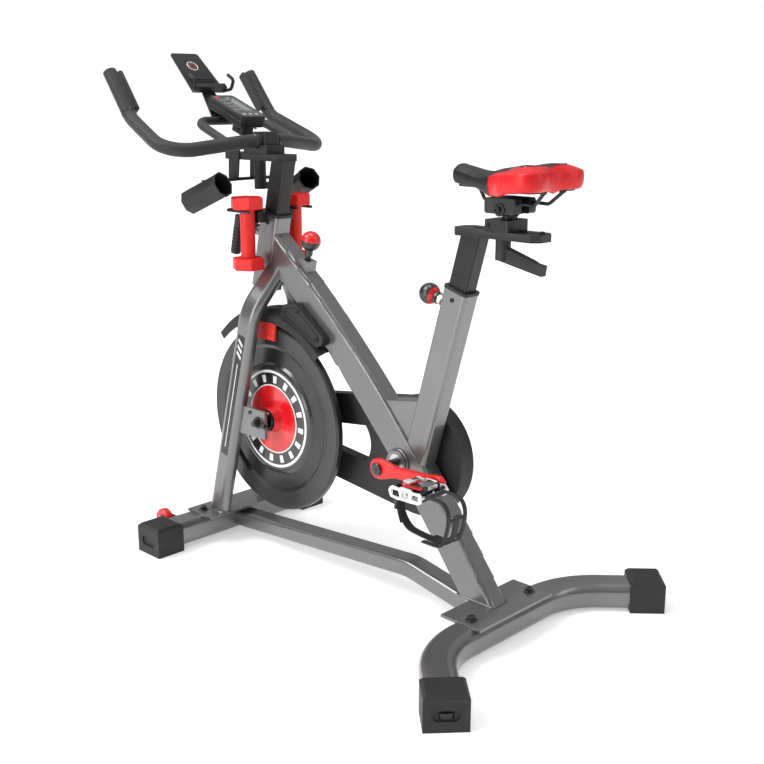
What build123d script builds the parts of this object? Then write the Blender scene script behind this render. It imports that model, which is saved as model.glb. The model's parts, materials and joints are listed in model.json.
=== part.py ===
"""Indoor spin bike, millimetres. +X points forward (handlebar end), +Y to the rider's left, +Z up.
The origin is on the floor, under the middle of the bike."""
import os
from math import atan2, cos, degrees, radians, sin, tan

from build123d import *

os.makedirs("parts", exist_ok=True)

# ---- driving dimensions -------------------------------------------------------------------
HALF_LENGTH = 620.0                 # half of the overall length
FRONT_FOOT_HALF = 271.0             # half of the front stabilizer's width
WALL = 2.5                          # wall of the welded steel tubes
RUNNING = 0.05                      # radial clearance of a turning shaft
SLIDING = 0.3                       # gap between pieces that slide past each other

CRANK_X, CRANK_Z = -154.0, 324.0    # crank axis
CRANK_LENGTH = 170.0
CRANK_ANGLE = 177.0                 # of the left arm, degrees up from +X
FLYWHEEL_X, FLYWHEEL_Z = 258.5, 338.0
FLYWHEEL_RADIUS = 226.0
RIM_INNER_RADIUS = 182.0
RIM_RIGHT, RIM_LEFT = 10.0, 30.0    # y of the rim's two faces
CRANK_PULLEY_RADIUS = 110.0
FLYWHEEL_PULLEY_RADIUS = 34.0
BELT_Y, BELT_WIDTH, BELT_THICKNESS = -41.0, 14.0, 3.0
GUARD_RADIUS = 134.0                # belt guard, round the crank
GUARD_INNER_Y, GUARD_ARM_Y, GUARD_DRUM_Y = -27.0, -54.0, -74.0

HEAD_LEAN = 13.4                    # degrees back from vertical
HEAD_TOP = (265.0, 826.0)           # x, z of the head sleeve's top, on its axis
HEAD_DEPTH, HEAD_WIDTH, HEAD_LENGTH = 60.0, 48.0, 180.0
POST_DEPTH, POST_WIDTH = 48.0, 36.0
BAR_RAIL_Z = 949.0                  # underside of the handlebar rail
BAR_CENTRE = (299.0, 992.0)         # x, z of the handlebar where it is clamped
BAR_RADIUS = 16.0

SEAT_LEAN = 16.0
SEAT_TUBE_TOP = (-303.0, 715.0)
SEAT_TUBE_DEPTH, SEAT_TUBE_WIDTH = 60.0, 46.0
SEAT_POST_DEPTH, SEAT_POST_WIDTH = 48.0, 34.0
SEAT_RAIL_Z = 830.0
RAIL_WIDTH, RAIL_HEIGHT = 60.0, 15.0

DOWN_TUBE_DEPTH, DOWN_TUBE_WIDTH = 76.0, 50.0
DOWN_TUBE_ARC = ((286.0, 768.0), (-103.0, 406.0), (-392.0, 45.0))
LEG_DEPTH, LEG_WIDTH, LEG_Y = 58.0, 33.0, 73.5
LEG_FOOT = (426.0, 65.0)
LEG_LEAN = 15.3

FRONT_FOOT_X, FRONT_FOOT_WIDTH, FRONT_FOOT_TOP = 458.0, 70.0, 68.0
REAR_FOOT_X, REAR_FOOT_WIDTH, REAR_FOOT_TOP = -426.0, 75.0, 62.0
REAR_FOOT_BEND, REAR_FOOT_SWEEP, REAR_FOOT_STRAIGHT = 190.0, 47.6, 125.0
TUBE_BOTTOM = 6.0
PLATE = 6.0                         # thickness of the mounting plates
BRAKE_RADIUS = 450.0                # knob centre, measured from the flywheel axis
BRAKE_ANGLE = 104.35                # direction of the brake rod from the flywheel axis

# outlines drawn in the mirrored side view, whose first coordinate is minus x, or in a part's own plane
# seat tube gusset, in the side view's x and z
GUSSET_OUTLINE = [(-80, 449), (-215, 470), (-195, 360), (-160, 345), (-80, 449)]
FENDER_PLATE_OUTLINE = [(-153, 634), (-62, 567), (-66, 551), (-86, 543), (-205, 604), (-195, 628),
                        (-153, 634)]    # fender's side plates
# plate that carries the media rack
RACK_STEM_OUTLINE = [(-34, 5), (34, 5), (17, -91), (-17, -91), (-34, 5)]
# hanger of the bottle holder
HOLDER_HANGER_OUTLINE = [(-352, 985), (-392, 985), (-396, 905), (-386, 900), (-362, 900), (-352, 985)]


# ---- helpers ------------------------------------------------------------------------------
def save(name, label):
    name.part.label = label
    export_step(name.part, f"parts/{label}.step")


def leaning_plane(origin, lean, along=0.0, forward=0.0):
    """Plane square to an axis that leans back in XZ; its local x is +Y and its normal runs up the axis."""
    up_x, up_z = -sin(radians(lean)), cos(radians(lean))
    x = origin[0] + up_x * along + up_z * forward
    z = origin[1] + up_z * along - up_x * forward
    return Plane(origin=(x, 0, z), x_dir=(0, 1, 0), z_dir=(up_x, 0, up_z))


def forward_plane(origin, lean, along, forward):
    """Plane that faces forward, square to a leaning post, at a distance in front of its axis."""
    up_x, up_z = -sin(radians(lean)), cos(radians(lean))
    x = origin[0] + up_x * along + up_z * forward
    z = origin[1] + up_z * along - up_x * forward
    return Plane(origin=(x, 0, z), x_dir=(0, 1, 0), z_dir=(up_z, 0, -up_x))


def polar(radius, angle):
    """x, z at a radius and an angle round the flywheel axis."""
    return (FLYWHEEL_X + radius * cos(radians(angle)), FLYWHEEL_Z + radius * sin(radians(angle)))


def side_plane(y, x=0.0, z=0.0):
    """Plane that faces +Y: local x is -X, local y is +Z."""
    return Plane(origin=(x, y, z), x_dir=(-1, 0, 0), z_dir=(0, 1, 0))


def bar_between(y_low, y_high, x, z, radius):
    """Filled round bar along Y."""
    return Solid.make_cylinder(radius, y_high - y_low, Plane(origin=(x, y_low, z), z_dir=(0, 1, 0)))


def straight_tube(plane, width, depth, corner, length, wall=0.0):
    """Rectangular tube along a plane's normal; filled when it has no wall."""
    with BuildPart() as tube:
        with BuildSketch(plane):
            RectangleRounded(width, depth, corner)
            if wall:
                RectangleRounded(width - 2 * wall, depth - 2 * wall, max(corner - wall, 0.5),
                                 mode=Mode.SUBTRACT)
        extrude(amount=length)
    return tube.part


def down_tube_sweep(grow=0.0, wall=0.0):
    with BuildPart() as tube:
        with BuildLine(Plane.XZ) as path:
            ThreePointArc(*DOWN_TUBE_ARC)
        with BuildSketch(Plane(origin=path.line @ 0, x_dir=(0, 1, 0), z_dir=path.line % 0)):
            RectangleRounded(DOWN_TUBE_WIDTH + 2 * grow, DOWN_TUBE_DEPTH + 2 * grow, 8)
            if wall:
                RectangleRounded(DOWN_TUBE_WIDTH - 2 * wall, DOWN_TUBE_DEPTH - 2 * wall, 5.5,
                                 mode=Mode.SUBTRACT)
        sweep()
    return tube.part


TRIM = 1500.0                       # side of the blocks that trim tube ends


def below(z):
    """Large block that ends at height z, for trimming a tube's foot."""
    return Solid.make_box(TRIM, TRIM, TRIM, Plane(origin=(-TRIM / 2, -TRIM / 2, z - TRIM)))


def above(z):
    return Solid.make_box(TRIM, TRIM, TRIM, Plane(origin=(-TRIM / 2, -TRIM / 2, z)))


# ---- filled envelopes of the welded tubes, used to trim the pieces that meet them -----------
head_envelope = straight_tube(
                              leaning_plane(HEAD_TOP, HEAD_LEAN, -HEAD_LENGTH), HEAD_WIDTH, HEAD_DEPTH,
                              7, HEAD_LENGTH)
head_front_block = straight_tube(
                                 leaning_plane(HEAD_TOP, HEAD_LEAN, -260, 150), 200, 300 + HEAD_DEPTH, 1,
                                 400)
down_envelope = down_tube_sweep()
seat_bore = straight_tube(
                          leaning_plane(SEAT_TUBE_TOP, SEAT_LEAN, -400), SEAT_TUBE_WIDTH - 6,
                          SEAT_TUBE_DEPTH - 6, 5, 400)
SHELL_RIGHT, SHELL_LEFT = -30.0, 35.0
shell_envelope = bar_between(SHELL_RIGHT, SHELL_LEFT, CRANK_X, CRANK_Z, 27)
brake_up = (cos(radians(BRAKE_ANGLE)), 0, sin(radians(BRAKE_ANGLE)))


def brake_plane(radius):
    """Plane square to the brake rod, at a radius from the flywheel axis."""
    x, z = polar(radius, BRAKE_ANGLE)
    return Plane(origin=(x, 0, z), x_dir=(0, 1, 0), z_dir=brake_up)


brake_bore = Solid.make_cylinder(8.5, 210, brake_plane(225))

# ---- frame: head sleeve, down tube, seat tube, crank shell ----------------------------------
LEVER_ALONG = -55.0                 # height lever's axis below the head's top
with BuildPart() as head_sleeve:
    add(straight_tube(leaning_plane(HEAD_TOP, HEAD_LEAN, -HEAD_LENGTH),
                      HEAD_WIDTH, HEAD_DEPTH, 7, HEAD_LENGTH, 3.0))
    with BuildSketch(forward_plane(HEAD_TOP, HEAD_LEAN, LEVER_ALONG, HEAD_DEPTH / 2)):
        Circle(13)
    extrude(amount=20)
    with BuildSketch(forward_plane(HEAD_TOP, HEAD_LEAN, LEVER_ALONG, HEAD_DEPTH / 2 - 4)):
        Circle(8 + RUNNING)
    extrude(amount=30, mode=Mode.SUBTRACT)
save(head_sleeve, "head_sleeve")

with BuildPart() as down_tube:
    add(down_tube_sweep(wall=WALL))
    with BuildSketch(brake_plane(322)):
        Rectangle(30, 30)
    extrude(amount=BRAKE_RADIUS - 44 - 322)
    add(brake_bore, mode=Mode.SUBTRACT)
    add(head_front_block, mode=Mode.SUBTRACT)
    add(shell_envelope, mode=Mode.SUBTRACT)
    add(below(REAR_FOOT_TOP + PLATE), mode=Mode.SUBTRACT)
save(down_tube, "down_tube")

PIN_ALONG = -39.0                   # seat pin below the seat tube's top
with BuildPart() as seat_tube:
    add(straight_tube(leaning_plane(SEAT_TUBE_TOP, SEAT_LEAN, -412),
                      SEAT_TUBE_WIDTH, SEAT_TUBE_DEPTH, 8, 412, 3.0))
    with BuildSketch(forward_plane(SEAT_TUBE_TOP, SEAT_LEAN, PIN_ALONG, SEAT_TUBE_DEPTH / 2 - 2)):
        Circle(11)
    extrude(amount=22)
    with BuildSketch(forward_plane(SEAT_TUBE_TOP, SEAT_LEAN, PIN_ALONG, 20)):
        Circle(5 + RUNNING)
    extrude(amount=40, mode=Mode.SUBTRACT)
    # box gusset between the seat tube and the down tube
    with BuildSketch(Plane.XZ):
        with BuildLine():
            Polyline(*GUSSET_OUTLINE)
        make_face()
    extrude(amount=20, both=True)
    add(seat_bore, mode=Mode.SUBTRACT)
    add(down_envelope, mode=Mode.SUBTRACT)
    add(shell_envelope, mode=Mode.SUBTRACT)
save(seat_tube, "seat_tube")

with BuildPart() as crank_shell:
    add(shell_envelope)
    add(bar_between(-36, 36, CRANK_X, CRANK_Z, 20), mode=Mode.SUBTRACT)
save(crank_shell, "crank_shell")

# ---- feet -----------------------------------------------------------------------------------
front_middle_z = (TUBE_BOTTOM + FRONT_FOOT_TOP) / 2
rear_middle_z = (2 + REAR_FOOT_TOP) / 2
sweep_x = -sin(radians(REAR_FOOT_SWEEP))
sweep_y = cos(radians(REAR_FOOT_SWEEP))
bend_end_x = REAR_FOOT_X - REAR_FOOT_BEND * (1 - cos(radians(REAR_FOOT_SWEEP)))
bend_end_y = REAR_FOOT_STRAIGHT + REAR_FOOT_BEND * sin(radians(REAR_FOOT_SWEEP))
CAP_LENGTH, CAP_WIDTH, CAP_HEIGHT = 75.0, 86.0, 72.0
CAP_WALL = 8.0                      # solid end of a front cap, past the tube's end
REAR_CAP_WALL = 36.0                # the same on a rear cap, which houses a leveller
# the end face's outer corner is at the rear-most point of the bike
rear_cap_x = -HALF_LENGTH + CAP_WIDTH / 2 * cos(radians(REAR_FOOT_SWEEP))
rear_cap_y = bend_end_y + (bend_end_x - rear_cap_x) / -sweep_x * sweep_y
rear_tube_end = (rear_cap_x - sweep_x * REAR_CAP_WALL, rear_cap_y - sweep_y * REAR_CAP_WALL)


bend_corner_y = REAR_FOOT_STRAIGHT + REAR_FOOT_BEND * tan(radians(REAR_FOOT_SWEEP / 2))


def rear_foot_path():
    with BuildLine(Plane.XY.offset(rear_middle_z)) as path:
        FilletPolyline((rear_tube_end[0], -rear_tube_end[1]), (REAR_FOOT_X, -bend_corner_y),
                       (REAR_FOOT_X, bend_corner_y), rear_tube_end, radius=REAR_FOOT_BEND)
    return path


with BuildPart() as rear_stabilizer:
    rear_path = rear_foot_path()
    rear_start = Plane(origin=rear_path.line @ 0, x_dir=(0, 0, 1), z_dir=rear_path.line % 0)
    for inset, mode in ((0, Mode.ADD), (WALL, Mode.SUBTRACT)):
        with BuildSketch(rear_start):
            RectangleRounded(REAR_FOOT_TOP - 2 - 2 * inset, REAR_FOOT_WIDTH - 2 * inset, 22 - inset)
        sweep(path=rear_path.line, mode=mode)
save(rear_stabilizer, "rear_stabilizer")

front_tube_half = FRONT_FOOT_HALF - CAP_WALL
with BuildPart() as front_stabilizer:
    with BuildSketch(Plane(origin=(FRONT_FOOT_X, -front_tube_half, front_middle_z), x_dir=(1, 0, 0),
                           z_dir=(0, 1, 0))):
        RectangleRounded(FRONT_FOOT_WIDTH, FRONT_FOOT_TOP - TUBE_BOTTOM, 18)
        RectangleRounded(FRONT_FOOT_WIDTH - 2 * WALL, FRONT_FOOT_TOP - TUBE_BOTTOM - 2 * WALL, 15.5,
                         mode=Mode.SUBTRACT)
    extrude(amount=2 * front_tube_half)
save(front_stabilizer, "front_stabilizer")

LEVELLER_INSET = 16.0               # leveller's axis, in from the rear cap's end face
LEVELLER_RADIUS, LEVELLER_LOW, LEVELLER_HIGH = 17.5, 28.0, 38.0
LEVELLER_STUD, LEVELLER_PAD = 5.0, 12.0
SLOT_HEIGHT = 22.0


def cap_face(end_x, end_y, heading):
    """Plane of a cap's end face: local x runs across the cap and local y runs up."""
    return Plane(origin=(end_x, end_y, 0), x_dir=(-sin(radians(heading)), cos(radians(heading)), 0),
                 z_dir=(cos(radians(heading)), sin(radians(heading)), 0))


def leveller_plane(face, z):
    inset = face.z_dir * -LEVELLER_INSET
    return Plane(origin=(face.origin.X + inset.X, face.origin.Y + inset.Y, z))


def foot_cap(face, wall, tube_width, tube_low, tube_high, corner):
    """Plastic cap; a wall thick enough for a leveller gets its well."""
    with BuildPart() as cap:
        with BuildSketch(face):
            with Locations((0, CAP_HEIGHT / 2)):
                Rectangle(CAP_WIDTH, CAP_HEIGHT)
        extrude(amount=-CAP_LENGTH)
        chamfer(cap.faces().sort_by(Axis.Z)[-1].edges(), 7)
        with BuildSketch(face.offset(-wall)):
            with Locations((0, (tube_low + tube_high) / 2)):
                RectangleRounded(tube_width + 0.4, tube_high - tube_low + 0.4, corner)
        extrude(amount=-CAP_LENGTH, mode=Mode.SUBTRACT)
        with BuildSketch(face):
            with Locations((0, (LEVELLER_LOW + LEVELLER_HIGH) / 2)):
                SlotOverall(CAP_WIDTH * 0.58, SLOT_HEIGHT)
        extrude(amount=-3, mode=Mode.SUBTRACT)
        if wall > LEVELLER_INSET:
            for radius, low, high in ((LEVELLER_RADIUS + 1.5, LEVELLER_LOW - 2, LEVELLER_HIGH + 2),
                                      (LEVELLER_STUD + 0.5, -1, LEVELLER_LOW), (LEVELLER_PAD + 1, -1, 6)):
                with BuildSketch(leveller_plane(face, low)):
                    Circle(radius)
                extrude(amount=high - low, mode=Mode.SUBTRACT)
    return cap.part


def rear_heading(side):
    return degrees(atan2(side * sweep_y, sweep_x))


front_faces = [cap_face(FRONT_FOOT_X, side * FRONT_FOOT_HALF, side * 90) for side in (-1, 1)]
rear_faces = [cap_face(rear_cap_x, side * rear_cap_y, rear_heading(side)) for side in (-1, 1)]
foot_caps_all = [foot_cap(face, CAP_WALL, FRONT_FOOT_WIDTH, TUBE_BOTTOM, FRONT_FOOT_TOP,
                          18) for face in front_faces]
foot_caps_all += [foot_cap(face, REAR_CAP_WALL, REAR_FOOT_WIDTH, 2, REAR_FOOT_TOP,
                           22) for face in rear_faces]
with BuildPart() as foot_caps:
    for cap in foot_caps_all:
        add(cap)
save(foot_caps, "foot_caps")

for side_name, face in (("right", rear_faces[0]), ("left", rear_faces[1])):
    with BuildPart() as leveller:
        for radius, low, high in ((LEVELLER_PAD, 0.5, 4.5), (LEVELLER_STUD, 0.5, LEVELLER_LOW + 1),
                                  (LEVELLER_RADIUS, LEVELLER_LOW, LEVELLER_HIGH)):
            with BuildSketch(leveller_plane(face, low)):
                Circle(radius)
            extrude(amount=high - low)
    save(leveller, f"leveller_{side_name}")

# ---- base tube with its two mounting plates --------------------------------------------------
BASE_WIDTH, BASE_HEIGHT = 50.0, 40.0
BASE_LINE = ((430, 35), (-174, 79), (-388, 39))
with BuildPart() as base_tube:
    with BuildLine(Plane.XZ) as base_path:
        FilletPolyline(*BASE_LINE, radius=160)
    base_start = Plane(origin=base_path.line @ 0, x_dir=(0, 1, 0), z_dir=base_path.line % 0)
    for inset, mode in ((0, Mode.ADD), (WALL, Mode.SUBTRACT)):
        with BuildSketch(base_start):
            RectangleRounded(BASE_WIDTH - 2 * inset, BASE_HEIGHT - 2 * inset, 8 - inset)
        sweep(path=base_path.line, mode=mode)
    add(down_envelope - below(REAR_FOOT_TOP + PLATE), mode=Mode.SUBTRACT)
    with Locations((440, 0, FRONT_FOOT_TOP + PLATE / 2)):
        Box(96, 256, PLATE)
    with Locations((-416, 0, REAR_FOOT_TOP + PLATE / 2)):
        Box(104, 240, PLATE)
    with Locations((FRONT_FOOT_X, 0, front_middle_z)):
        Box(FRONT_FOOT_WIDTH, 60, FRONT_FOOT_TOP - TUBE_BOTTOM, mode=Mode.SUBTRACT)
    with Locations((REAR_FOOT_X, 0, rear_middle_z)):
        Box(REAR_FOOT_WIDTH, 60, REAR_FOOT_TOP - 2, mode=Mode.SUBTRACT)
save(base_tube, "base_tube")

# ---- fork legs ---------------------------------------------------------------------------------
leg_up = (-sin(radians(LEG_LEAN)), 0, cos(radians(LEG_LEAN)))
LEG_STRAIGHT, LEG_END, LEG_END_Y, LEG_BEND = 560.0, 664.0, 10.0, 110.0


def fork_leg(side):
    # local x of the leg's plane is across the bike and local y runs up the leg
    plane = Plane(origin=(LEG_FOOT[0], 0, LEG_FOOT[1]), x_dir=(0, side, 0),
                  z_dir=Vector(0, side, 0).cross(Vector(*leg_up)))
    with BuildPart() as leg:
        with BuildLine(plane) as path:
            FilletPolyline((LEG_Y, 0), (LEG_Y, LEG_STRAIGHT), (LEG_END_Y, LEG_END), radius=LEG_BEND)
        start = Plane(origin=path.line @ 0, x_dir=plane.z_dir, z_dir=path.line % 0)
        for inset, mode in ((0, Mode.ADD), (WALL, Mode.SUBTRACT)):
            with BuildSketch(start):
                SlotOverall(LEG_DEPTH - 2 * inset, LEG_WIDTH - 2 * inset)
            sweep(path=path.line, mode=mode)
        add(head_envelope, mode=Mode.SUBTRACT)
        add(down_envelope, mode=Mode.SUBTRACT)
        add(below(FRONT_FOOT_TOP + PLATE), mode=Mode.SUBTRACT)
    return max(leg.part.solids(), key=lambda s: s.volume)


fork_leg_solids = [fork_leg(side) for side in (-1, 1)]
with BuildPart() as fork_legs:
    for leg_solid in fork_leg_solids:
        add(leg_solid)
save(fork_legs, "fork_legs")

# ---- brackets: axle plates on the legs, wheel forks on the front foot --------------------------
AXLE_RADIUS = 6.0
AXLE_PLATE_Y, AXLE_PLATE_THICK = 69.0, 8.0
WHEEL_X, WHEEL_Y, WHEEL_Z, WHEEL_RADIUS, WHEEL_WIDTH = 523.0, 175.0, 50.0, 26.0, 20.0
front_face_x = FRONT_FOOT_X + FRONT_FOOT_WIDTH / 2
with BuildPart() as axle_plates:
    for side in (-1, 1):
        with BuildSketch(side_plane(side * AXLE_PLATE_Y)):
            with Locations((-(FLYWHEEL_X + 42), FLYWHEEL_Z - 4)):
                RectangleRounded(132, 70, 6)
            with Locations((-(FLYWHEEL_X), FLYWHEEL_Z)):
                Circle(AXLE_RADIUS + 0.1, mode=Mode.SUBTRACT)
        extrude(amount=side * AXLE_PLATE_THICK)
    for leg_solid in fork_leg_solids:
        add(leg_solid, mode=Mode.SUBTRACT)
axle_plate_solids = [max((s for s in axle_plates.part.solids() if side * s.center().Y > 0),
                         key=lambda s: s.volume)
                     for side in (-1, 1)]

with BuildPart() as frame_brackets:
    for plate_solid in axle_plate_solids:
        add(plate_solid)
    for side in (-1, 1):
        for cheek in (-1, 1):
            with BuildSketch(side_plane(side * WHEEL_Y + cheek * (WHEEL_WIDTH / 2 + 3) - 2)):
                with BuildLine():
                    Polyline((-front_face_x, 28), (-front_face_x, 62), (-WHEEL_X, WHEEL_Z + 13),
                             (-WHEEL_X - 11, WHEEL_Z),
                             (-WHEEL_X, WHEEL_Z - 12), (-front_face_x, 28))
                make_face()
            extrude(amount=4)
        with BuildSketch(side_plane(side * WHEEL_Y - WHEEL_WIDTH / 2 - 9)):
            with Locations((-WHEEL_X, WHEEL_Z)):
                Circle(4)
        extrude(amount=WHEEL_WIDTH + 18)
save(frame_brackets, "frame_brackets")


def transport_wheel(side):
    with BuildPart() as wheel:
        with BuildSketch(side_plane(side * WHEEL_Y - WHEEL_WIDTH / 2, WHEEL_X, WHEEL_Z)):
            Circle(WHEEL_RADIUS)
            Circle(4 + RUNNING, mode=Mode.SUBTRACT)
        extrude(amount=WHEEL_WIDTH)
        chamfer(wheel.edges().filter_by(GeomType.CIRCLE).group_by(SortBy.RADIUS)[-1], 3)
    return wheel


for side_name, side in (("left", 1), ("right", -1)):
    save(transport_wheel(side), f"transport_wheel_{side_name}")

with BuildPart() as frame_bolts:
    for x, y, z in ((452, 105, FRONT_FOOT_TOP + PLATE), (-426, 95.5, REAR_FOOT_TOP + PLATE)):
        for side in (-1, 1):
            for radius, height in ((10, 2), (7.5, 7)):
                with BuildSketch(Plane(origin=(x, side * y, z))):
                    Circle(radius)
                extrude(amount=height)
save(frame_bolts, "frame_bolts")

# ---- flywheel, on its fixed axle -----------------------------------------------------------------
with BuildPart() as flywheel_axle:
    add(bar_between(-92, 92, FLYWHEEL_X, FLYWHEEL_Z, AXLE_RADIUS))
    for side in (-1, 1):
        with BuildSketch(side_plane(side * (AXLE_PLATE_Y + AXLE_PLATE_THICK), FLYWHEEL_X, FLYWHEEL_Z)):
            RegularPolygon(11, 6)
        extrude(amount=side * 9)
save(flywheel_axle, "flywheel_axle")

HUB_RADIUS, BEARING_RADIUS = 27.0, 16.0
HUB_LEFT = 34.0
web_middle = (RIM_RIGHT + RIM_LEFT) / 2
with BuildPart() as flywheel:
    with BuildSketch(Plane.XY):
        # local x is the radius, local y is across the wheel
        with BuildLine():
            Polyline((BEARING_RADIUS, -31), (HUB_RADIUS, -31), (HUB_RADIUS + 4, web_middle - 4),
                     (RIM_INNER_RADIUS - 9, web_middle - 4), (RIM_INNER_RADIUS, RIM_RIGHT),
                     (FLYWHEEL_RADIUS - 4, RIM_RIGHT), (FLYWHEEL_RADIUS, RIM_RIGHT + 4),
                     (FLYWHEEL_RADIUS, RIM_LEFT - 4), (FLYWHEEL_RADIUS - 4, RIM_LEFT),
                     (RIM_INNER_RADIUS, RIM_LEFT), (RIM_INNER_RADIUS - 9, web_middle + 4),
                     (HUB_RADIUS, web_middle + 4), (HUB_RADIUS, HUB_LEFT), (BEARING_RADIUS, HUB_LEFT),
                     (BEARING_RADIUS, -31))
        make_face()
    revolve(axis=Axis.Y)
flywheel.part.position = (FLYWHEEL_X, 0, FLYWHEEL_Z)
save(flywheel, "flywheel")

BADGE_RADIUS = 126.0
with BuildPart() as flywheel_cover:
    # domed cover disc on the left face, with a cap over the hub
    with BuildSketch(Plane.XY):
        with BuildLine():
            Polyline((HUB_RADIUS + 0.2, web_middle + 4), (BADGE_RADIUS + 12, web_middle + 4),
                     (BADGE_RADIUS + 6, RIM_LEFT - 1), (BADGE_RADIUS, RIM_LEFT + 1),
                     (HUB_RADIUS + 5, RIM_LEFT + 1), (HUB_RADIUS, HUB_LEFT + 16), (14, HUB_LEFT + 18),
                     (14, HUB_LEFT + 0.2), (HUB_RADIUS + 0.2, HUB_LEFT + 0.2),
                     (HUB_RADIUS + 0.2, web_middle + 4))
        make_face()
    revolve(axis=Axis.Y)
flywheel_cover.part.position = (FLYWHEEL_X, 0, FLYWHEEL_Z)
save(flywheel_cover, "flywheel_cover")


def pulley(x, z, radius, bore, spokes):
    """Flanged belt pulley; a big one is lightened by round holes."""
    low = BELT_Y - BELT_WIDTH / 2 - 2
    with BuildPart() as wheel:
        with BuildSketch(side_plane(low, x, z)):
            Circle(radius + 2)
            Circle(bore, mode=Mode.SUBTRACT)
            if spokes:
                with PolarLocations(radius * 0.6, spokes):
                    Circle(radius * 0.2, mode=Mode.SUBTRACT)
        extrude(amount=BELT_WIDTH + 4)
        with BuildSketch(side_plane(low + 2, x, z)):
            Circle(radius + 3)
            Circle(radius, mode=Mode.SUBTRACT)
        extrude(amount=BELT_WIDTH, mode=Mode.SUBTRACT)
    return wheel


save(pulley(FLYWHEEL_X, FLYWHEEL_Z, FLYWHEEL_PULLEY_RADIUS, BEARING_RADIUS, 0), "flywheel_pulley")
save(pulley(CRANK_X, CRANK_Z, CRANK_PULLEY_RADIUS, 10.0, 6), "crank_pulley")

with BuildPart() as flywheel_bearings:
    for y in (-50, 22):
        add(bar_between(y, y + 10, FLYWHEEL_X, FLYWHEEL_Z, BEARING_RADIUS))
    add(bar_between(-60, 60, FLYWHEEL_X, FLYWHEEL_Z, AXLE_RADIUS + RUNNING), mode=Mode.SUBTRACT)
save(flywheel_bearings, "flywheel_bearings")

# ---- belt, as the outline of two tangent circles -------------------------------------------------
def tangent_outline(big, small, x_big, z_big, x_small, z_small):
    """Closed outline round two circles, in XZ."""
    gap = ((x_small - x_big) ** 2 + (z_small - z_big) ** 2) ** 0.5
    tilt = atan2(z_small - z_big, x_small - x_big)
    spread = radians(90) - atan2(big - small, (gap ** 2 - (big - small) ** 2) ** 0.5)
    points = []
    for x, z, radius in ((x_big, z_big, big), (x_small, z_small, small)):
        for turn in (spread, -spread):
            points.append((x + radius * cos(tilt + turn), z + radius * sin(tilt + turn)))
    back = (x_big - big * cos(tilt), z_big - big * sin(tilt))
    front = (x_small + small * cos(tilt), z_small + small * sin(tilt))
    Line(points[0], points[2])
    ThreePointArc(points[2], front, points[3])
    Line(points[3], points[1])
    ThreePointArc(points[1], back, points[0])


with BuildPart() as drive_belt:
    with BuildSketch(Plane.XZ.offset(-(BELT_Y + BELT_WIDTH / 2 - 0.3))):
        with BuildLine():
            tangent_outline(CRANK_PULLEY_RADIUS + 0.1 + BELT_THICKNESS,
                            FLYWHEEL_PULLEY_RADIUS + 0.1 + BELT_THICKNESS,
                            CRANK_X, CRANK_Z, FLYWHEEL_X, FLYWHEEL_Z)
        make_face()
        with BuildLine():
            tangent_outline(CRANK_PULLEY_RADIUS + 0.1, FLYWHEEL_PULLEY_RADIUS + 0.1,
                            CRANK_X, CRANK_Z, FLYWHEEL_X, FLYWHEEL_Z)
        make_face(mode=Mode.SUBTRACT)
    extrude(amount=BELT_WIDTH - 0.6)
save(drive_belt, "drive_belt")

# ---- belt guard: flat inner plate and a tray outside, with one window through both ---------------
GUARD_FRONT = (238.0, 316.0, 84.0)  # x, z and radius of the guard's front end
SKIN = 2.5
WINDOW = ((0, 277), (0, 363), (128, 347), (128, 290))


def guard_outline(inset):
    tangent_outline(GUARD_RADIUS - inset, GUARD_FRONT[2] - inset, CRANK_X, CRANK_Z, GUARD_FRONT[0],
                    GUARD_FRONT[1])


def window_outline(grow):
    left, right = WINDOW[0][0] - grow, WINDOW[2][0] + grow
    Line((left, WINDOW[1][1] + grow), (right, WINDOW[2][1] + grow))
    Line((right, WINDOW[2][1] + grow), (right, WINDOW[3][1] - grow))
    Line((right, WINDOW[3][1] - grow), (left, WINDOW[0][1] - grow))
    ThreePointArc((left, WINDOW[0][1] - grow), (left - 17, 320), (left, WINDOW[1][1] + grow))


with BuildPart() as belt_guard_inner:
    with BuildSketch(Plane.XZ.offset(-GUARD_INNER_Y)):
        with BuildLine():
            guard_outline(0)
        make_face()
        with BuildLine():
            window_outline(0)
        make_face(mode=Mode.SUBTRACT)
        with Locations((CRANK_X, CRANK_Z)):
            Circle(36, mode=Mode.SUBTRACT)
        with Locations((FLYWHEEL_X, FLYWHEEL_Z)):
            Circle(40, mode=Mode.SUBTRACT)
    extrude(amount=3)
save(belt_guard_inner, "belt_guard_inner")

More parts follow.
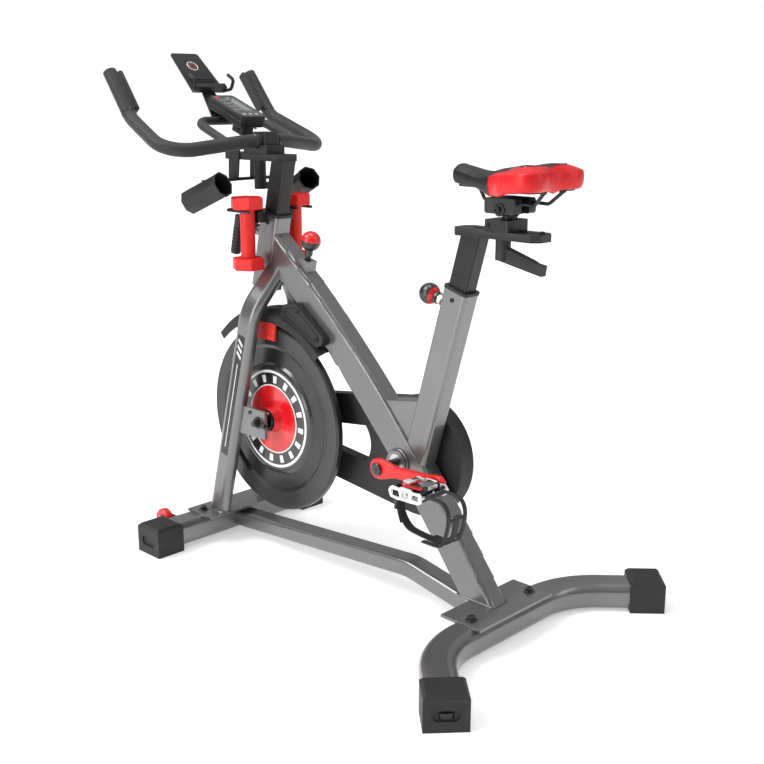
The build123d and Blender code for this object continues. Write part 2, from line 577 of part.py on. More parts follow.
guard_split_y = GUARD_INNER_Y - 3
with BuildPart() as belt_guard_outer:
    with BuildSketch(Plane.XZ.offset(-guard_split_y)):
        with BuildLine():
            guard_outline(0)
        make_face()
    extrude(amount=guard_split_y - GUARD_ARM_Y)
    with BuildSketch(Plane.XZ.offset(-GUARD_ARM_Y)):
        with Locations((CRANK_X, CRANK_Z)):
            Circle(GUARD_RADIUS - 0.5)
    extrude(amount=GUARD_ARM_Y - GUARD_DRUM_Y)
    fillet(belt_guard_outer.faces().sort_by(Axis.Y)[0].edges(), 8)
    with BuildSketch(Plane.XZ.offset(-guard_split_y)):
        with BuildLine():
            guard_outline(SKIN)
        make_face()
        with BuildLine():
            window_outline(SKIN)
        make_face(mode=Mode.SUBTRACT)
    extrude(amount=guard_split_y - GUARD_ARM_Y - SKIN, mode=Mode.SUBTRACT)
    with BuildSketch(Plane.XZ.offset(-(GUARD_ARM_Y + SKIN))):
        with Locations((CRANK_X, CRANK_Z)):
            Circle(GUARD_RADIUS - 12)
    extrude(amount=GUARD_ARM_Y - GUARD_DRUM_Y, mode=Mode.SUBTRACT)
    with BuildSketch(Plane.XZ.offset(-guard_split_y)):
        with BuildLine():
            window_outline(0)
        make_face()
    extrude(amount=60, mode=Mode.SUBTRACT)
    for x, z, radius in ((CRANK_X, CRANK_Z, 22), (FLYWHEEL_X, FLYWHEEL_Z, 12)):
        add(bar_between(-90, -31, x, z, radius), mode=Mode.SUBTRACT)
save(belt_guard_outer, "belt_guard_outer")

# ---- fender over the flywheel, notched round the down tube ---------------------------------------
FENDER_RADIUS, FENDER_HALF, FENDER_SKIN = 270.0, 45.0, 3.0
FENDER_FRONT, FENDER_REAR = 47.0, 134.0
PIVOT_RADIUS, PIVOT_ANGLE = 250.0, 60.0
with BuildPart() as fender_arc:
    with BuildSketch(Plane.XY):
        with BuildLine():
            Polyline((240, FENDER_HALF), (258, FENDER_HALF), (FENDER_RADIUS, 26), (FENDER_RADIUS, -26),
                     (258, -FENDER_HALF),
                     (240, -FENDER_HALF), (240, 3 - FENDER_HALF), (256.5, 3 - FENDER_HALF),
                     (FENDER_RADIUS - FENDER_SKIN, -24.5),
                     (FENDER_RADIUS - FENDER_SKIN, 24.5), (256.5, FENDER_HALF - 3),
                     (240, FENDER_HALF - 3), (240, FENDER_HALF))
        make_face()
    revolve(axis=Axis.Y, revolution_arc=FENDER_REAR - FENDER_FRONT)
fender_solid = fender_arc.part.rotate(Axis.Y, -FENDER_REAR).moved(Location((FLYWHEEL_X, 0, FLYWHEEL_Z)))
with BuildPart() as fender:
    add(fender_solid)
    for side in (-1, 1):
        with BuildSketch(side_plane(side * (FENDER_HALF - 18))):
            with BuildLine():
                Polyline(*FENDER_PLATE_OUTLINE)
            make_face()
        extrude(amount=side * 18)
    x, z = polar(PIVOT_RADIUS, PIVOT_ANGLE)
    add(bar_between(-FENDER_HALF + 1, FENDER_HALF - 1, x, z, 4))
    add(down_tube_sweep(grow=0.5), mode=Mode.SUBTRACT)
    add(Solid.make_cylinder(13, 60, brake_plane(240)), mode=Mode.SUBTRACT)
save(fender, "fender")

# ---- bushings and bearings in the frame ----------------------------------------------------------
with BuildPart() as post_bushings:
    for origin, lean, width, depth, post_width, post_depth, corner in (
                                                                       (HEAD_TOP, HEAD_LEAN, HEAD_WIDTH,
                                                                        HEAD_DEPTH, POST_WIDTH,
                                                                        POST_DEPTH, 7),
                                                                       (SEAT_TUBE_TOP, SEAT_LEAN,
                                                                        SEAT_TUBE_WIDTH, SEAT_TUBE_DEPTH,
                                                                        SEAT_POST_WIDTH, SEAT_POST_DEPTH,
                                                                        8)):
        add(straight_tube(leaning_plane(origin, lean, -28), width - 6.1, depth - 6.1, corner - 3, 28))
        add(straight_tube(leaning_plane(origin, lean, 0), width + 3, depth + 3, corner + 1, 6))
        add(straight_tube(leaning_plane(origin, lean, -30), post_width + 0.2, post_depth + 0.2, 4, 40),
            mode=Mode.SUBTRACT)
    with BuildSketch(forward_plane(SEAT_TUBE_TOP, SEAT_LEAN, PIN_ALONG, 20)):
        Circle(6.5)
    extrude(amount=12, mode=Mode.SUBTRACT)
save(post_bushings, "post_bushings")

with BuildPart() as crank_bearings:
    for y in (SHELL_RIGHT + 1, SHELL_LEFT - 13):
        add(bar_between(y, y + 12, CRANK_X, CRANK_Z, 20))
    add(bar_between(-40, 40, CRANK_X, CRANK_Z, 10 + RUNNING), mode=Mode.SUBTRACT)
save(crank_bearings, "crank_bearings")

# ---- crank set -----------------------------------------------------------------------------------
ARM_INNER, ARM_OUTER = 78.0, 92.0
PEDAL_INNER, PEDAL_OUTER = 106.0, 186.0


def pedal_centre(side):
    angle = radians(CRANK_ANGLE if side > 0 else CRANK_ANGLE + 180)
    return (CRANK_X + CRANK_LENGTH * cos(angle), CRANK_Z + CRANK_LENGTH * sin(angle))


with BuildPart() as crank_spindle:
    add(bar_between(-ARM_INNER, ARM_INNER, CRANK_X, CRANK_Z, 10))
    for side in (-1, 1):
        low, high = sorted((side * ARM_OUTER, side * (ARM_OUTER + 5)))
        add(bar_between(low, high, CRANK_X, CRANK_Z, 13))
        low, high = sorted((side * ARM_INNER, side * ARM_OUTER))
        add(bar_between(low, high, CRANK_X, CRANK_Z, 9))
save(crank_spindle, "crank_spindle")

with BuildPart() as crank_arms:
    for side in (-1, 1):
        x, z = pedal_centre(side)
        with BuildSketch(Plane.XZ.offset(-side * ARM_INNER)):
            with BuildLine():
                tangent_outline(22, 14, CRANK_X, CRANK_Z, x, z)
            make_face()
            with Locations((CRANK_X, CRANK_Z)):
                Circle(9, mode=Mode.SUBTRACT)
            with Locations((x, z)):
                Circle(7, mode=Mode.SUBTRACT)
        extrude(amount=-side * (ARM_OUTER - ARM_INNER))
save(crank_arms, "crank_arms")

with BuildPart() as pedal_axles:
    for side in (-1, 1):
        x, z = pedal_centre(side)
        low, high = sorted((side * ARM_INNER, side * (PEDAL_OUTER - 6)))
        add(bar_between(low, high, x, z, 6))
        low, high = sorted((side * ARM_INNER, side * (ARM_OUTER + 6)))
        add(bar_between(low, high, x, z, 7))
save(pedal_axles, "pedal_axles")

# ---- pedals, toe cages hanging under them, and cleat latches on top ------------------------------
PEDAL_HALF, PEDAL_HEIGHT = 42.0, 24.0
CAGE_REACH, CAGE_DROP, STRAP = 104.0, 98.0, 4.0
LATCH_X, LATCH_Z = -34.0, 16.0      # latch pin, from the pedal's centre
LATCH_INNER, LATCH_OUTER, LATCH_PIN = 132.0, 160.0, 2.5
EAR = 4.5                           # thickness of the two ears that hold the latch pin


def pedal_block(side, x_low, x_high, y_low, y_high, z_low, z_high):
    """Block given from a pedal's centre; y counts outward from the bike's middle."""
    x, z = pedal_centre(side)
    y_pair = sorted((side * y_low, side * y_high))
    corner = Plane(origin=(x + x_low, y_pair[0], z + z_low))
    return Solid.make_box(x_high - x_low, y_pair[1] - y_pair[0], z_high - z_low, corner)


def pedal(side):
    x, z = pedal_centre(side)
    half_height = PEDAL_HEIGHT / 2
    with BuildPart() as body:
        add(bar_between(*sorted((side * PEDAL_INNER, side * PEDAL_OUTER)), x, z, 14))
        for y_low in (PEDAL_INNER, PEDAL_OUTER - 5):
            add(pedal_block(side, -PEDAL_HALF, PEDAL_HALF, y_low, y_low + 5, -half_height, half_height))
        for edge in (-PEDAL_HALF, PEDAL_HALF - 6):
            add(pedal_block(side, edge, edge + 6, PEDAL_INNER, PEDAL_OUTER, -half_height + 3,
                            half_height - 3))
        add(pedal_block(side, -PEDAL_HALF, PEDAL_HALF, 136, 156, -8, 8))
        for y_low in (LATCH_INNER - 0.5 - EAR, LATCH_OUTER + 0.5):
            add(pedal_block(side, LATCH_X - 5, LATCH_X + 5, y_low, y_low + EAR, 0, LATCH_Z + 5))
        pin_ends = sorted((side * (LATCH_INNER - 2), side * (LATCH_OUTER + 2)))
        add(bar_between(*pin_ends, x + LATCH_X, z + LATCH_Z, LATCH_PIN))
        add(bar_between(*sorted((side * (PEDAL_INNER - 1), side * (PEDAL_OUTER - 5.9))), x, z,
                        6 + RUNNING), mode=Mode.SUBTRACT)
    return body


def toe_cage(side):
    """Bent strap below the pedal: its toe end bulges to the rear and its strap closes at the front."""
    x, z = pedal_centre(side)
    with BuildPart() as cage:
        with BuildSketch(Plane.XZ.offset(-side * (PEDAL_INNER + 8))):
            with BuildLine():
                outer = [(x - PEDAL_HALF - 0.5, z + 8), (x - CAGE_REACH + 10, z + 4),
                         (x - CAGE_REACH, z - 26),
                         (x - CAGE_REACH + 16, z - CAGE_DROP + 6), (x - 52, z - CAGE_DROP),
                         (x + 20, z - CAGE_DROP + 8), (x + PEDAL_HALF + 4, z - 60),
                         (x + PEDAL_HALF + 5, z + 6),
                         (x + PEDAL_HALF + 0.5, z + 6)]
                inner = [(x + PEDAL_HALF + 0.5, z - 58), (x + 18, z - CAGE_DROP + 12),
                         (x - 51, z - CAGE_DROP + STRAP), (x - CAGE_REACH + 19, z - CAGE_DROP + 10),
                         (x - CAGE_REACH + STRAP, z - 26), (x - CAGE_REACH + 13, z),
                         (x - PEDAL_HALF - 0.5, z + 3), (x - PEDAL_HALF - 0.5, z + 8)]
                Polyline(*(outer + inner))
            make_face()
        extrude(amount=-side * (PEDAL_OUTER - PEDAL_INNER - 16))
        # windows leave a frame at the toe end and two straps under the foot
        add(pedal_block(side, -CAGE_REACH - 5, -PEDAL_HALF - 14, 126, 166, -CAGE_DROP + 26, -14),
            mode=Mode.SUBTRACT)
        add(pedal_block(side, -CAGE_REACH + 24, PEDAL_HALF - 6, 130, 162, -CAGE_DROP - 5,
                        -CAGE_DROP + 40), mode=Mode.SUBTRACT)
        add(pedal_block(side, PEDAL_HALF - 2, PEDAL_HALF + 8, 128, 164, -48, -14), mode=Mode.SUBTRACT)
    return cage


def cleat_latch(side):
    x, z = pedal_centre(side)
    with BuildPart() as latch:
        add(pedal_block(side, LATCH_X - 4, LATCH_X + 16, LATCH_INNER, LATCH_OUTER, LATCH_Z - 4,
                        LATCH_Z + 4))
        add(pedal_block(side, LATCH_X + 12, LATCH_X + 26, 138, 154, LATCH_Z + 1, LATCH_Z + 4))
        pin_ends = sorted((side * (LATCH_INNER - 1), side * (LATCH_OUTER + 1)))
        add(bar_between(*pin_ends, x + LATCH_X, z + LATCH_Z, LATCH_PIN + RUNNING), mode=Mode.SUBTRACT)
    return latch


for side_name, side in (("left", 1), ("right", -1)):
    save(pedal(side), f"pedal_{side_name}")
    save(toe_cage(side), f"toe_cage_{side_name}")
    save(cleat_latch(side), f"cleat_latch_{side_name}")

# ---- resistance: rod, knob and magnet caliper ----------------------------------------------------
PAD_RADIUS = 233.0                  # face of the brake pad, from the flywheel axis
with BuildPart() as brake_rod:
    with BuildSketch(brake_plane(PAD_RADIUS)):
        with Locations(((RIM_LEFT - 8) / 2, 0)):
            RectangleRounded(RIM_LEFT + 16, 16, 3)
    extrude(amount=9)
    with BuildSketch(brake_plane(PAD_RADIUS + 9)):
        Circle(6)
    extrude(amount=BRAKE_RADIUS - PAD_RADIUS - 9 - 30)
save(brake_rod, "brake_rod")

KNOB_RADIUS = 23.0
with BuildPart() as resistance_knob:
    knob_plane = brake_plane(BRAKE_RADIUS)
    add(Solid.make_sphere(KNOB_RADIUS, knob_plane))
    with BuildSketch(brake_plane(BRAKE_RADIUS - 34)):
        Circle(9)
    extrude(amount=20)
    with BuildSketch(brake_plane(BRAKE_RADIUS - 36)):
        Circle(6 + RUNNING)
    extrude(amount=16, mode=Mode.SUBTRACT)
save(resistance_knob, "resistance_knob")

CALIPER_FRONT, CALIPER_REAR = 63.0, 96.0
CALIPER_LOW, CALIPER_HIGH = 236.0, 243.0
with BuildPart() as caliper_arc:
    with BuildSketch(Plane.XY):
        with BuildLine():
            Polyline((196, RIM_LEFT + 3), (CALIPER_LOW, RIM_LEFT + 3), (CALIPER_LOW, RIM_RIGHT - 3),
                     (196, RIM_RIGHT - 3),
                     (196, RIM_RIGHT - 9), (CALIPER_HIGH, RIM_RIGHT - 9), (CALIPER_HIGH, RIM_LEFT + 9),
                     (196, RIM_LEFT + 9),
                     (196, RIM_LEFT + 3))
        make_face()
    revolve(axis=Axis.Y, revolution_arc=CALIPER_REAR - CALIPER_FRONT)
with BuildPart() as brake_caliper:
    add(caliper_arc.part.rotate(Axis.Y, -CALIPER_REAR).moved(Location((FLYWHEEL_X, 0, FLYWHEEL_Z))))
    pivot_x, pivot_z = polar(PIVOT_RADIUS, PIVOT_ANGLE)
    arm_x, arm_z = polar(CALIPER_HIGH - 3, CALIPER_FRONT + 3)
    for y in (RIM_RIGHT - 9, RIM_LEFT + 3):
        with BuildSketch(Plane.XZ.offset(-y)):
            with BuildLine():
                tangent_outline(8, 7, pivot_x, pivot_z, arm_x, arm_z)
            make_face()
            with Locations((pivot_x, pivot_z)):
                Circle(4 + RUNNING, mode=Mode.SUBTRACT)
        extrude(amount=-6)
save(brake_caliper, "brake_caliper")

# ---- seat: post with rail, carriage, clamp, saddle -----------------------------------------------
with BuildPart() as seat_post:
    add(straight_tube(leaning_plane(SEAT_TUBE_TOP, SEAT_LEAN, -200), SEAT_POST_WIDTH, SEAT_POST_DEPTH, 4,
                      360, 2.5))
    add(above(SEAT_RAIL_Z), mode=Mode.SUBTRACT)
    for step in range(9):
        with BuildSketch(forward_plane(SEAT_TUBE_TOP, SEAT_LEAN, -180 + 30 * step, 18)):
            Circle(5.5)
        extrude(amount=10, mode=Mode.SUBTRACT)
    with BuildSketch(Plane.XY.offset(SEAT_RAIL_Z)):
        with Locations((-401, 0)):
            Rectangle(212, RAIL_WIDTH)
        with Locations((-410, 0)):
            SlotOverall(158, 12, mode=Mode.SUBTRACT)
    extrude(amount=RAIL_HEIGHT)
    chamfer(seat_post.edges().filter_by(Axis.Z).filter_by_position(Axis.Y, RAIL_WIDTH / 2 - 1,
                                                                   RAIL_WIDTH / 2 + 1), 14)
    chamfer(seat_post.edges().filter_by(Axis.Z).filter_by_position(Axis.Y, -RAIL_WIDTH / 2 - 1,
                                                                   1 - RAIL_WIDTH / 2), 14)
save(seat_post, "seat_post")

CARRIAGE_X = -412.0
TILT_Z = 887.0
seat_rail_top = SEAT_RAIL_Z + RAIL_HEIGHT
with BuildPart() as seat_carriage:
    with BuildSketch(Plane.XY.offset(seat_rail_top + SLIDING)):
        with Locations((CARRIAGE_X, 0)):
            RectangleRounded(58, 64, 4)
    extrude(amount=22)
    with BuildSketch(Plane.XY.offset(seat_rail_top + 20)):
        with Locations((CARRIAGE_X - 8, 0)):
            Circle(15)
    extrude(amount=10)
    with BuildSketch(Plane.XY.offset(seat_rail_top + 28)):
        with Locations((CARRIAGE_X - 8, 0)):
            Rectangle(26, 22)
    extrude(amount=24)
    with BuildSketch(Plane.XY.offset(SEAT_RAIL_Z + 2)):
        with Locations((CARRIAGE_X, 0)):
            Circle(5)
    extrude(amount=20)
    add(bar_between(-12, 12, CARRIAGE_X - 8, TILT_Z, 5 + RUNNING), mode=Mode.SUBTRACT)
save(seat_carriage, "seat_carriage")

SADDLE_RAIL_Y = 22.0
with BuildPart() as saddle_rails:
    for side in (-1, 1):
        with BuildLine() as wire_path:
            FilletPolyline((-362, side * 20, 923), (-376, side * SADDLE_RAIL_Y, 903),
                           (-494, side * SADDLE_RAIL_Y, 899),
                           (-520, side * 30, 923), radius=12)
        with BuildSketch(Plane(origin=wire_path.line @ 0, z_dir=wire_path.line % 0)):
            Circle(3.5)
        sweep(path=wire_path.line)
        with BuildSketch(side_plane(side * 12, CARRIAGE_X - 8, 894)):
            RectangleRounded(74, 30, 6)
        extrude(amount=side * 20)
    add(bar_between(-14, 14, CARRIAGE_X - 8, TILT_Z, 5))
save(saddle_rails, "saddle_rails")

SADDLE_LOW, SADDLE_HIGH = 928.0, 972.0
# half of the saddle's outline seen from above, from the nose to the rear
SADDLE_OUTLINE = [(-284, 0), (-295, 21), (-382, 34), (-446, 72), (-502, 92), (-532, 60), (-536, 0)]
with BuildPart() as saddle:
    with BuildSketch(Plane.XY.offset(SADDLE_LOW)):
        with BuildLine():
            Spline(*SADDLE_OUTLINE, tangents=((0, 1), (0, -1)))
            mirror(about=Plane.XZ)
        make_face()
    extrude(amount=SADDLE_HIGH - SADDLE_LOW)
save(saddle, "saddle")

STEM_X = CARRIAGE_X + 6
LEVER_TIP = [(-503, 766), (-506, 786), (-488, 789), (-480, 793)]    # x and z of the lever's upturned end
with BuildPart() as seat_lever:
    with BuildSketch(Plane.XZ.offset(-8)):
        with BuildLine():
            Polyline((STEM_X + 13, 800), (STEM_X + 13, 788), *LEVER_TIP, (STEM_X - 13, 812),
                     (STEM_X - 13, 800), (STEM_X + 13, 800))
        make_face()
    extrude(amount=16)
    with BuildSketch(Plane.XY.offset(788)):
        with Locations((STEM_X, 0)):
            Circle(15)
    extrude(amount=SEAT_RAIL_Z - SLIDING - 788)
save(seat_lever, "seat_lever")

with BuildPart() as seat_pin:
    with BuildSketch(forward_plane(SEAT_TUBE_TOP, SEAT_LEAN, PIN_ALONG, SEAT_POST_DEPTH / 2 + 0.4)):
        Circle(5)
    extrude(amount=50)
    with BuildSketch(forward_plane(SEAT_TUBE_TOP, SEAT_LEAN, PIN_ALONG, 52)):
        Circle(13)
    extrude(amount=6)
    add(Solid.make_sphere(22.5, forward_plane(SEAT_TUBE_TOP, SEAT_LEAN, PIN_ALONG, 78)))
save(seat_pin, "seat_pin")

# ---- handlebar: post with rail, carriage, bar ----------------------------------------------------
BAR_RAIL_REAR, BAR_RAIL_FRONT = 209.0, 425.0
with BuildPart() as handlebar_post:
    add(straight_tube(leaning_plane(HEAD_TOP, HEAD_LEAN, -176), POST_WIDTH, POST_DEPTH, 4, 340, 2.5))
    add(above(BAR_RAIL_Z), mode=Mode.SUBTRACT)
    with BuildSketch(Plane.XY.offset(BAR_RAIL_Z)):
        with Locations(((BAR_RAIL_REAR + BAR_RAIL_FRONT) / 2, 0)):
            Rectangle(BAR_RAIL_FRONT - BAR_RAIL_REAR, RAIL_WIDTH)
            SlotOverall(150, 12, mode=Mode.SUBTRACT)
    extrude(amount=RAIL_HEIGHT)
    chamfer(handlebar_post.edges().filter_by(Axis.Z).filter_by_position(Axis.Y, RAIL_WIDTH / 2 - 1,
                                                                        RAIL_WIDTH / 2 + 1), 14)
    chamfer(handlebar_post.edges().filter_by(Axis.Z).filter_by_position(Axis.Y, -RAIL_WIDTH / 2 - 1,
                                                                        1 - RAIL_WIDTH / 2), 14)
save(handlebar_post, "handlebar_post")

SLIDE_STEM_X = 320.0
bar_rail_top = BAR_RAIL_Z + RAIL_HEIGHT
with BuildPart() as handlebar_carriage:
    with BuildSketch(Plane.XY.offset(bar_rail_top + SLIDING)):
        with Locations(((262 + 345) / 2, 0)):
            RectangleRounded(83, 58, 4)
    extrude(amount=20)
    with BuildSketch(Plane.XY.offset(bar_rail_top + 18)):
        with Locations((BAR_CENTRE[0], 0)):
            RectangleRounded(52, 40, 5)
    extrude(amount=31)
    with BuildSketch(Plane.XY.offset(BAR_RAIL_Z + 2)):
        with Locations((SLIDE_STEM_X, 0)):
            Circle(5)
    extrude(amount=20)
    add(bar_between(-60, 60, BAR_CENTRE[0], BAR_CENTRE[1], BAR_RADIUS + 0.1), mode=Mode.SUBTRACT)
save(handlebar_carriage, "handlebar_carriage")

GRIP_END = (607.3, 208.0, 1147.0)
BAR_BEND_UP = (526.0, 210.0, 1043.0)
BAR_CORNER = (352.0, 238.0, 970.0)
BAR_INNER = (BAR_CENTRE[0], 60.0, BAR_CENTRE[1])


def mirrored(point):
    return (point[0], -point[1], point[2])


bar_points = [GRIP_END, BAR_BEND_UP, BAR_CORNER, BAR_INNER]
bar_points = bar_points + [mirrored(p) for p in reversed(bar_points)]
LOOP_FOOT, LOOP_FRONT = (318.0, 98.0, 992.0), (434.0, 96.0, 1036.0)
LOOP_RADIUS = 10.0
with BuildPart() as handlebar:
    with BuildLine() as bar_path:
        FilletPolyline(*bar_points, radius=[60, 75, 120, 120, 75, 60])
    with BuildSketch(Plane(origin=bar_path.line @ 0, z_dir=bar_path.line % 0)):
        Circle(BAR_RADIUS)
    sweep(path=bar_path.line)
    with BuildLine() as loop_path:
        FilletPolyline(LOOP_FOOT, LOOP_FRONT, mirrored(LOOP_FRONT), mirrored(LOOP_FOOT), radius=36)
    with BuildSketch(Plane(origin=loop_path.line @ 0, z_dir=loop_path.line % 0)):
        Circle(LOOP_RADIUS)
    sweep(path=loop_path.line)
    with BuildSketch(Plane(origin=bar_path.line @ 0, z_dir=bar_path.line % 0)):
        Circle(BAR_RADIUS - 3)
    sweep(path=bar_path.line, mode=Mode.SUBTRACT)
save(handlebar, "handlebar")

grip_dir = (Vector(*GRIP_END) - Vector(*BAR_BEND_UP)).normalized()
with BuildPart() as grip_pads:
    for side in (-1, 1):
        tip = Vector(GRIP_END[0], side * GRIP_END[1], GRIP_END[2])
        along = Vector(grip_dir.X, side * grip_dir.Y, grip_dir.Z)
        pad_plane = Plane(origin=tuple(tip), x_dir=(0, -side, 0), z_dir=tuple(along * -1))
        with BuildSketch(pad_plane):
            with Locations((BAR_RADIUS + 9, 0)):
                RectangleRounded(20, 22, 7)
        extrude(amount=112)
    add(handlebar.part, mode=Mode.SUBTRACT)
save(grip_pads, "grip_pads")

with BuildPart() as height_lever:
    lever_front = HEAD_DEPTH / 2
    with BuildSketch(forward_plane(HEAD_TOP, HEAD_LEAN, LEVER_ALONG, lever_front + 4)):
        Circle(8)
    extrude(amount=92)
    with BuildSketch(forward_plane(HEAD_TOP, HEAD_LEAN, LEVER_ALONG, lever_front + 20.4)):
        Circle(13)
    extrude(amount=18)
    with BuildSketch(leaning_plane(HEAD_TOP, HEAD_LEAN, -137, 128)):
        Circle(12)
    extrude(amount=94)
save(height_lever, "height_lever")

with BuildPart() as slide_lever:
    with BuildSketch(Plane.XY.offset(882)):
        with Locations((SLIDE_STEM_X, 0)):
            Circle(14)
    extrude(amount=BAR_RAIL_Z - SLIDING - 882)
    with BuildSketch(Plane.XY.offset(882)):
        with Locations((SLIDE_STEM_X, -44)):
            RectangleRounded(20, 88, 6)
    extrude(amount=14)
save(slide_lever, "slide_lever")

# ---- console, its buttons, and the media rack ----------------------------------------------------
CONSOLE_TILT = 20.5
console_up = (-sin(radians(CONSOLE_TILT)), 0, cos(radians(CONSOLE_TILT)))
console_plane = Plane(origin=(397, 0, 1069),
                      x_dir=(cos(radians(CONSOLE_TILT)), 0, sin(radians(CONSOLE_TILT))), z_dir=console_up)
CONSOLE_LENGTH, CONSOLE_WIDTH, CONSOLE_THICK = 140.0, 75.0, 26.0
BUTTON_X, BUTTON_PITCH, BUTTON_RADIUS = -50.0, 18.0, 4.5
with BuildPart() as console:
    with BuildSketch(console_plane):
        RectangleRounded(CONSOLE_LENGTH, CONSOLE_WIDTH, 14)
    extrude(amount=-CONSOLE_THICK)
    fillet(console.faces().sort_by(Axis.Z)[-1].edges(), 3)
    with BuildSketch(console_plane):
        with Locations((BUTTON_X, -BUTTON_PITCH), (BUTTON_X, 0), (BUTTON_X, BUTTON_PITCH)):
            Circle(BUTTON_RADIUS + SLIDING)
    extrude(amount=-4, mode=Mode.SUBTRACT)
    with BuildSketch(console_plane.offset(-CONSOLE_THICK)):
        with Locations((-34, 0)):
            Rectangle(40, 30)
    extrude(amount=-26)
    with Locations((BAR_CENTRE[0], 0, BAR_CENTRE[1])):
        Box(52.4, 60, 42, mode=Mode.SUBTRACT)
save(console, "console")

for place, offset_y in (("left", BUTTON_PITCH), ("middle", 0.0), ("right", -BUTTON_PITCH)):
    with BuildPart() as console_button:
        with BuildSketch(console_plane.offset(-2.2)):
            with Locations((BUTTON_X, offset_y)):
                Circle(BUTTON_RADIUS)
        extrude(amount=3.4)
    save(console_button, f"console_button_{place}")

RACK_LOW, RACK_HIGH = (502.0, 1103.0), (600.0, 1193.0)
rack_run = (Vector(RACK_HIGH[0], 0, RACK_HIGH[1]) - Vector(RACK_LOW[0], 0, RACK_LOW[1]))
rack_up = rack_run.normalized()
rack_normal = Vector(-rack_up.Z, 0, rack_up.X)  # faces the rider
rack_plane = Plane(origin=(RACK_LOW[0], 0, RACK_LOW[1]), x_dir=(0, 1, 0), z_dir=tuple(rack_normal * -1))
with BuildPart() as media_rack:
    with BuildSketch(rack_plane):
        with BuildLine():
            rise = rack_run.length
            Polyline((-48, 0), (48, 0), (40, rise - 4), (36, rise), (-36, rise), (-40, rise - 4),
                     (-48, 0))
        make_face()
    extrude(amount=4)
    with BuildSketch(rack_plane):
        with Locations((0, 3)):
            Rectangle(94, 6)
    extrude(amount=-14)
    with BuildSketch(rack_plane.offset(-11)):
        with Locations((0, 8)):
            Rectangle(94, 10)
    extrude(amount=-3)
    for side in (-1, 1):
        with BuildLine() as hook_path:
            FilletPolyline((504, side * 40, 1104), (490, side * 56, 1108), (480, side * 57, 1130),
                           (502, side * 57, 1142), radius=9)
        with BuildSketch(Plane(origin=hook_path.line @ 0, z_dir=hook_path.line % 0)):
            Circle(4)
        sweep(path=hook_path.line)
    # neck down to the loop's front tube
    with BuildSketch(Plane(origin=(446, 0, 1034), x_dir=(0, 1, 0), z_dir=(-0.729, 0, 0.684))):
        with BuildLine():
            Polyline(*RACK_STEM_OUTLINE)
        make_face()
    extrude(amount=2.5, both=True)
    with BuildLine() as rack_loop_path:
        FilletPolyline(LOOP_FOOT, LOOP_FRONT, mirrored(LOOP_FRONT), mirrored(LOOP_FOOT), radius=36)
    with BuildSketch(Plane(origin=rack_loop_path.line @ 0, z_dir=rack_loop_path.line % 0)):
        Circle(LOOP_RADIUS + 0.1)
    sweep(path=rack_loop_path.line, mode=Mode.SUBTRACT)
save(media_rack, "media_rack")

# ---- bottle holder -------------------------------------------------------------------------------
CUP_RIM, CUP_END = (294.0, 130.0, 901.0), (391.0, 152.0, 856.0)
CUP_RADIUS, CUP_WALL = 29.0, 2.5
with BuildPart() as bottle_holder:
    for side in (-1, 1):
        rim = Vector(CUP_RIM[0], side * CUP_RIM[1], CUP_RIM[2])
        end = Vector(CUP_END[0], side * CUP_END[1], CUP_END[2])
        cup_axis = (rim - end).normalized()
        cup_plane = Plane(origin=tuple(end), x_dir=(0, 1, 0), z_dir=tuple(cup_axis))
        with BuildSketch(Plane.XY.offset(900)):
            with BuildLine():
                Polyline((365, side * 20), (395, side * 20), (386, side * 112), (352, side * 104),
                         (365, side * 20))
            make_face()
        extrude(amount=5)
        with BuildSketch(Plane.XY.offset(888)):
            with BuildLine():
                Polyline((352, side * 100), (386, side * 100), (384, side * 122), (350, side * 122),
                         (352, side * 100))
            make_face()
        extrude(amount=17)
        with BuildSketch(side_plane(side * (RAIL_WIDTH / 2 + 0.4))):
            with BuildLine():
                Polyline(*HOLDER_HANGER_OUTLINE)
            make_face()
        extrude(amount=side * 3.5)
        with BuildSketch(cup_plane):
            RegularPolygon(CUP_RADIUS, 8)
        extrude(amount=(rim - end).length)
        with BuildSketch(cup_plane.offset(CUP_WALL)):
            RegularPolygon(CUP_RADIUS - CUP_WALL, 8)
        extrude(amount=(rim - end).length, mode=Mode.SUBTRACT)
    with Locations((380, 0, 902.5)):
        Box(30, 68, 5)
save(bottle_holder, "bottle_holder")

# ---- dumbbells in their cradles ------------------------------------------------------------------
BELL_X, BELL_Y, BELL_TOP_Z, BELL_LOW_Z = 283.0, 72.0, 842.0, 703.0
BELL_HEAD, BELL_ACROSS, BELL_HANDLE = 28.0, 34.0, 17.0
CRADLE_WIRE = 3.5


def dumbbell(side):
    with BuildPart() as bell:
        for z in (BELL_TOP_Z, BELL_LOW_Z):
            with BuildSketch(Plane(origin=(BELL_X, side * BELL_Y, z))):
                RegularPolygon(BELL_ACROSS, 6, major_radius=False, rotation=30)
            extrude(amount=BELL_HEAD)
        fillet(bell.edges(), 4)
        with BuildSketch(Plane(origin=(BELL_X, side * BELL_Y, BELL_LOW_Z + 10))):
            Circle(BELL_HANDLE)
        extrude(amount=BELL_TOP_Z - BELL_LOW_Z)
    return bell


for side_name, side in (("left", 1), ("right", -1)):
    save(dumbbell(side), f"dumbbell_{side_name}")

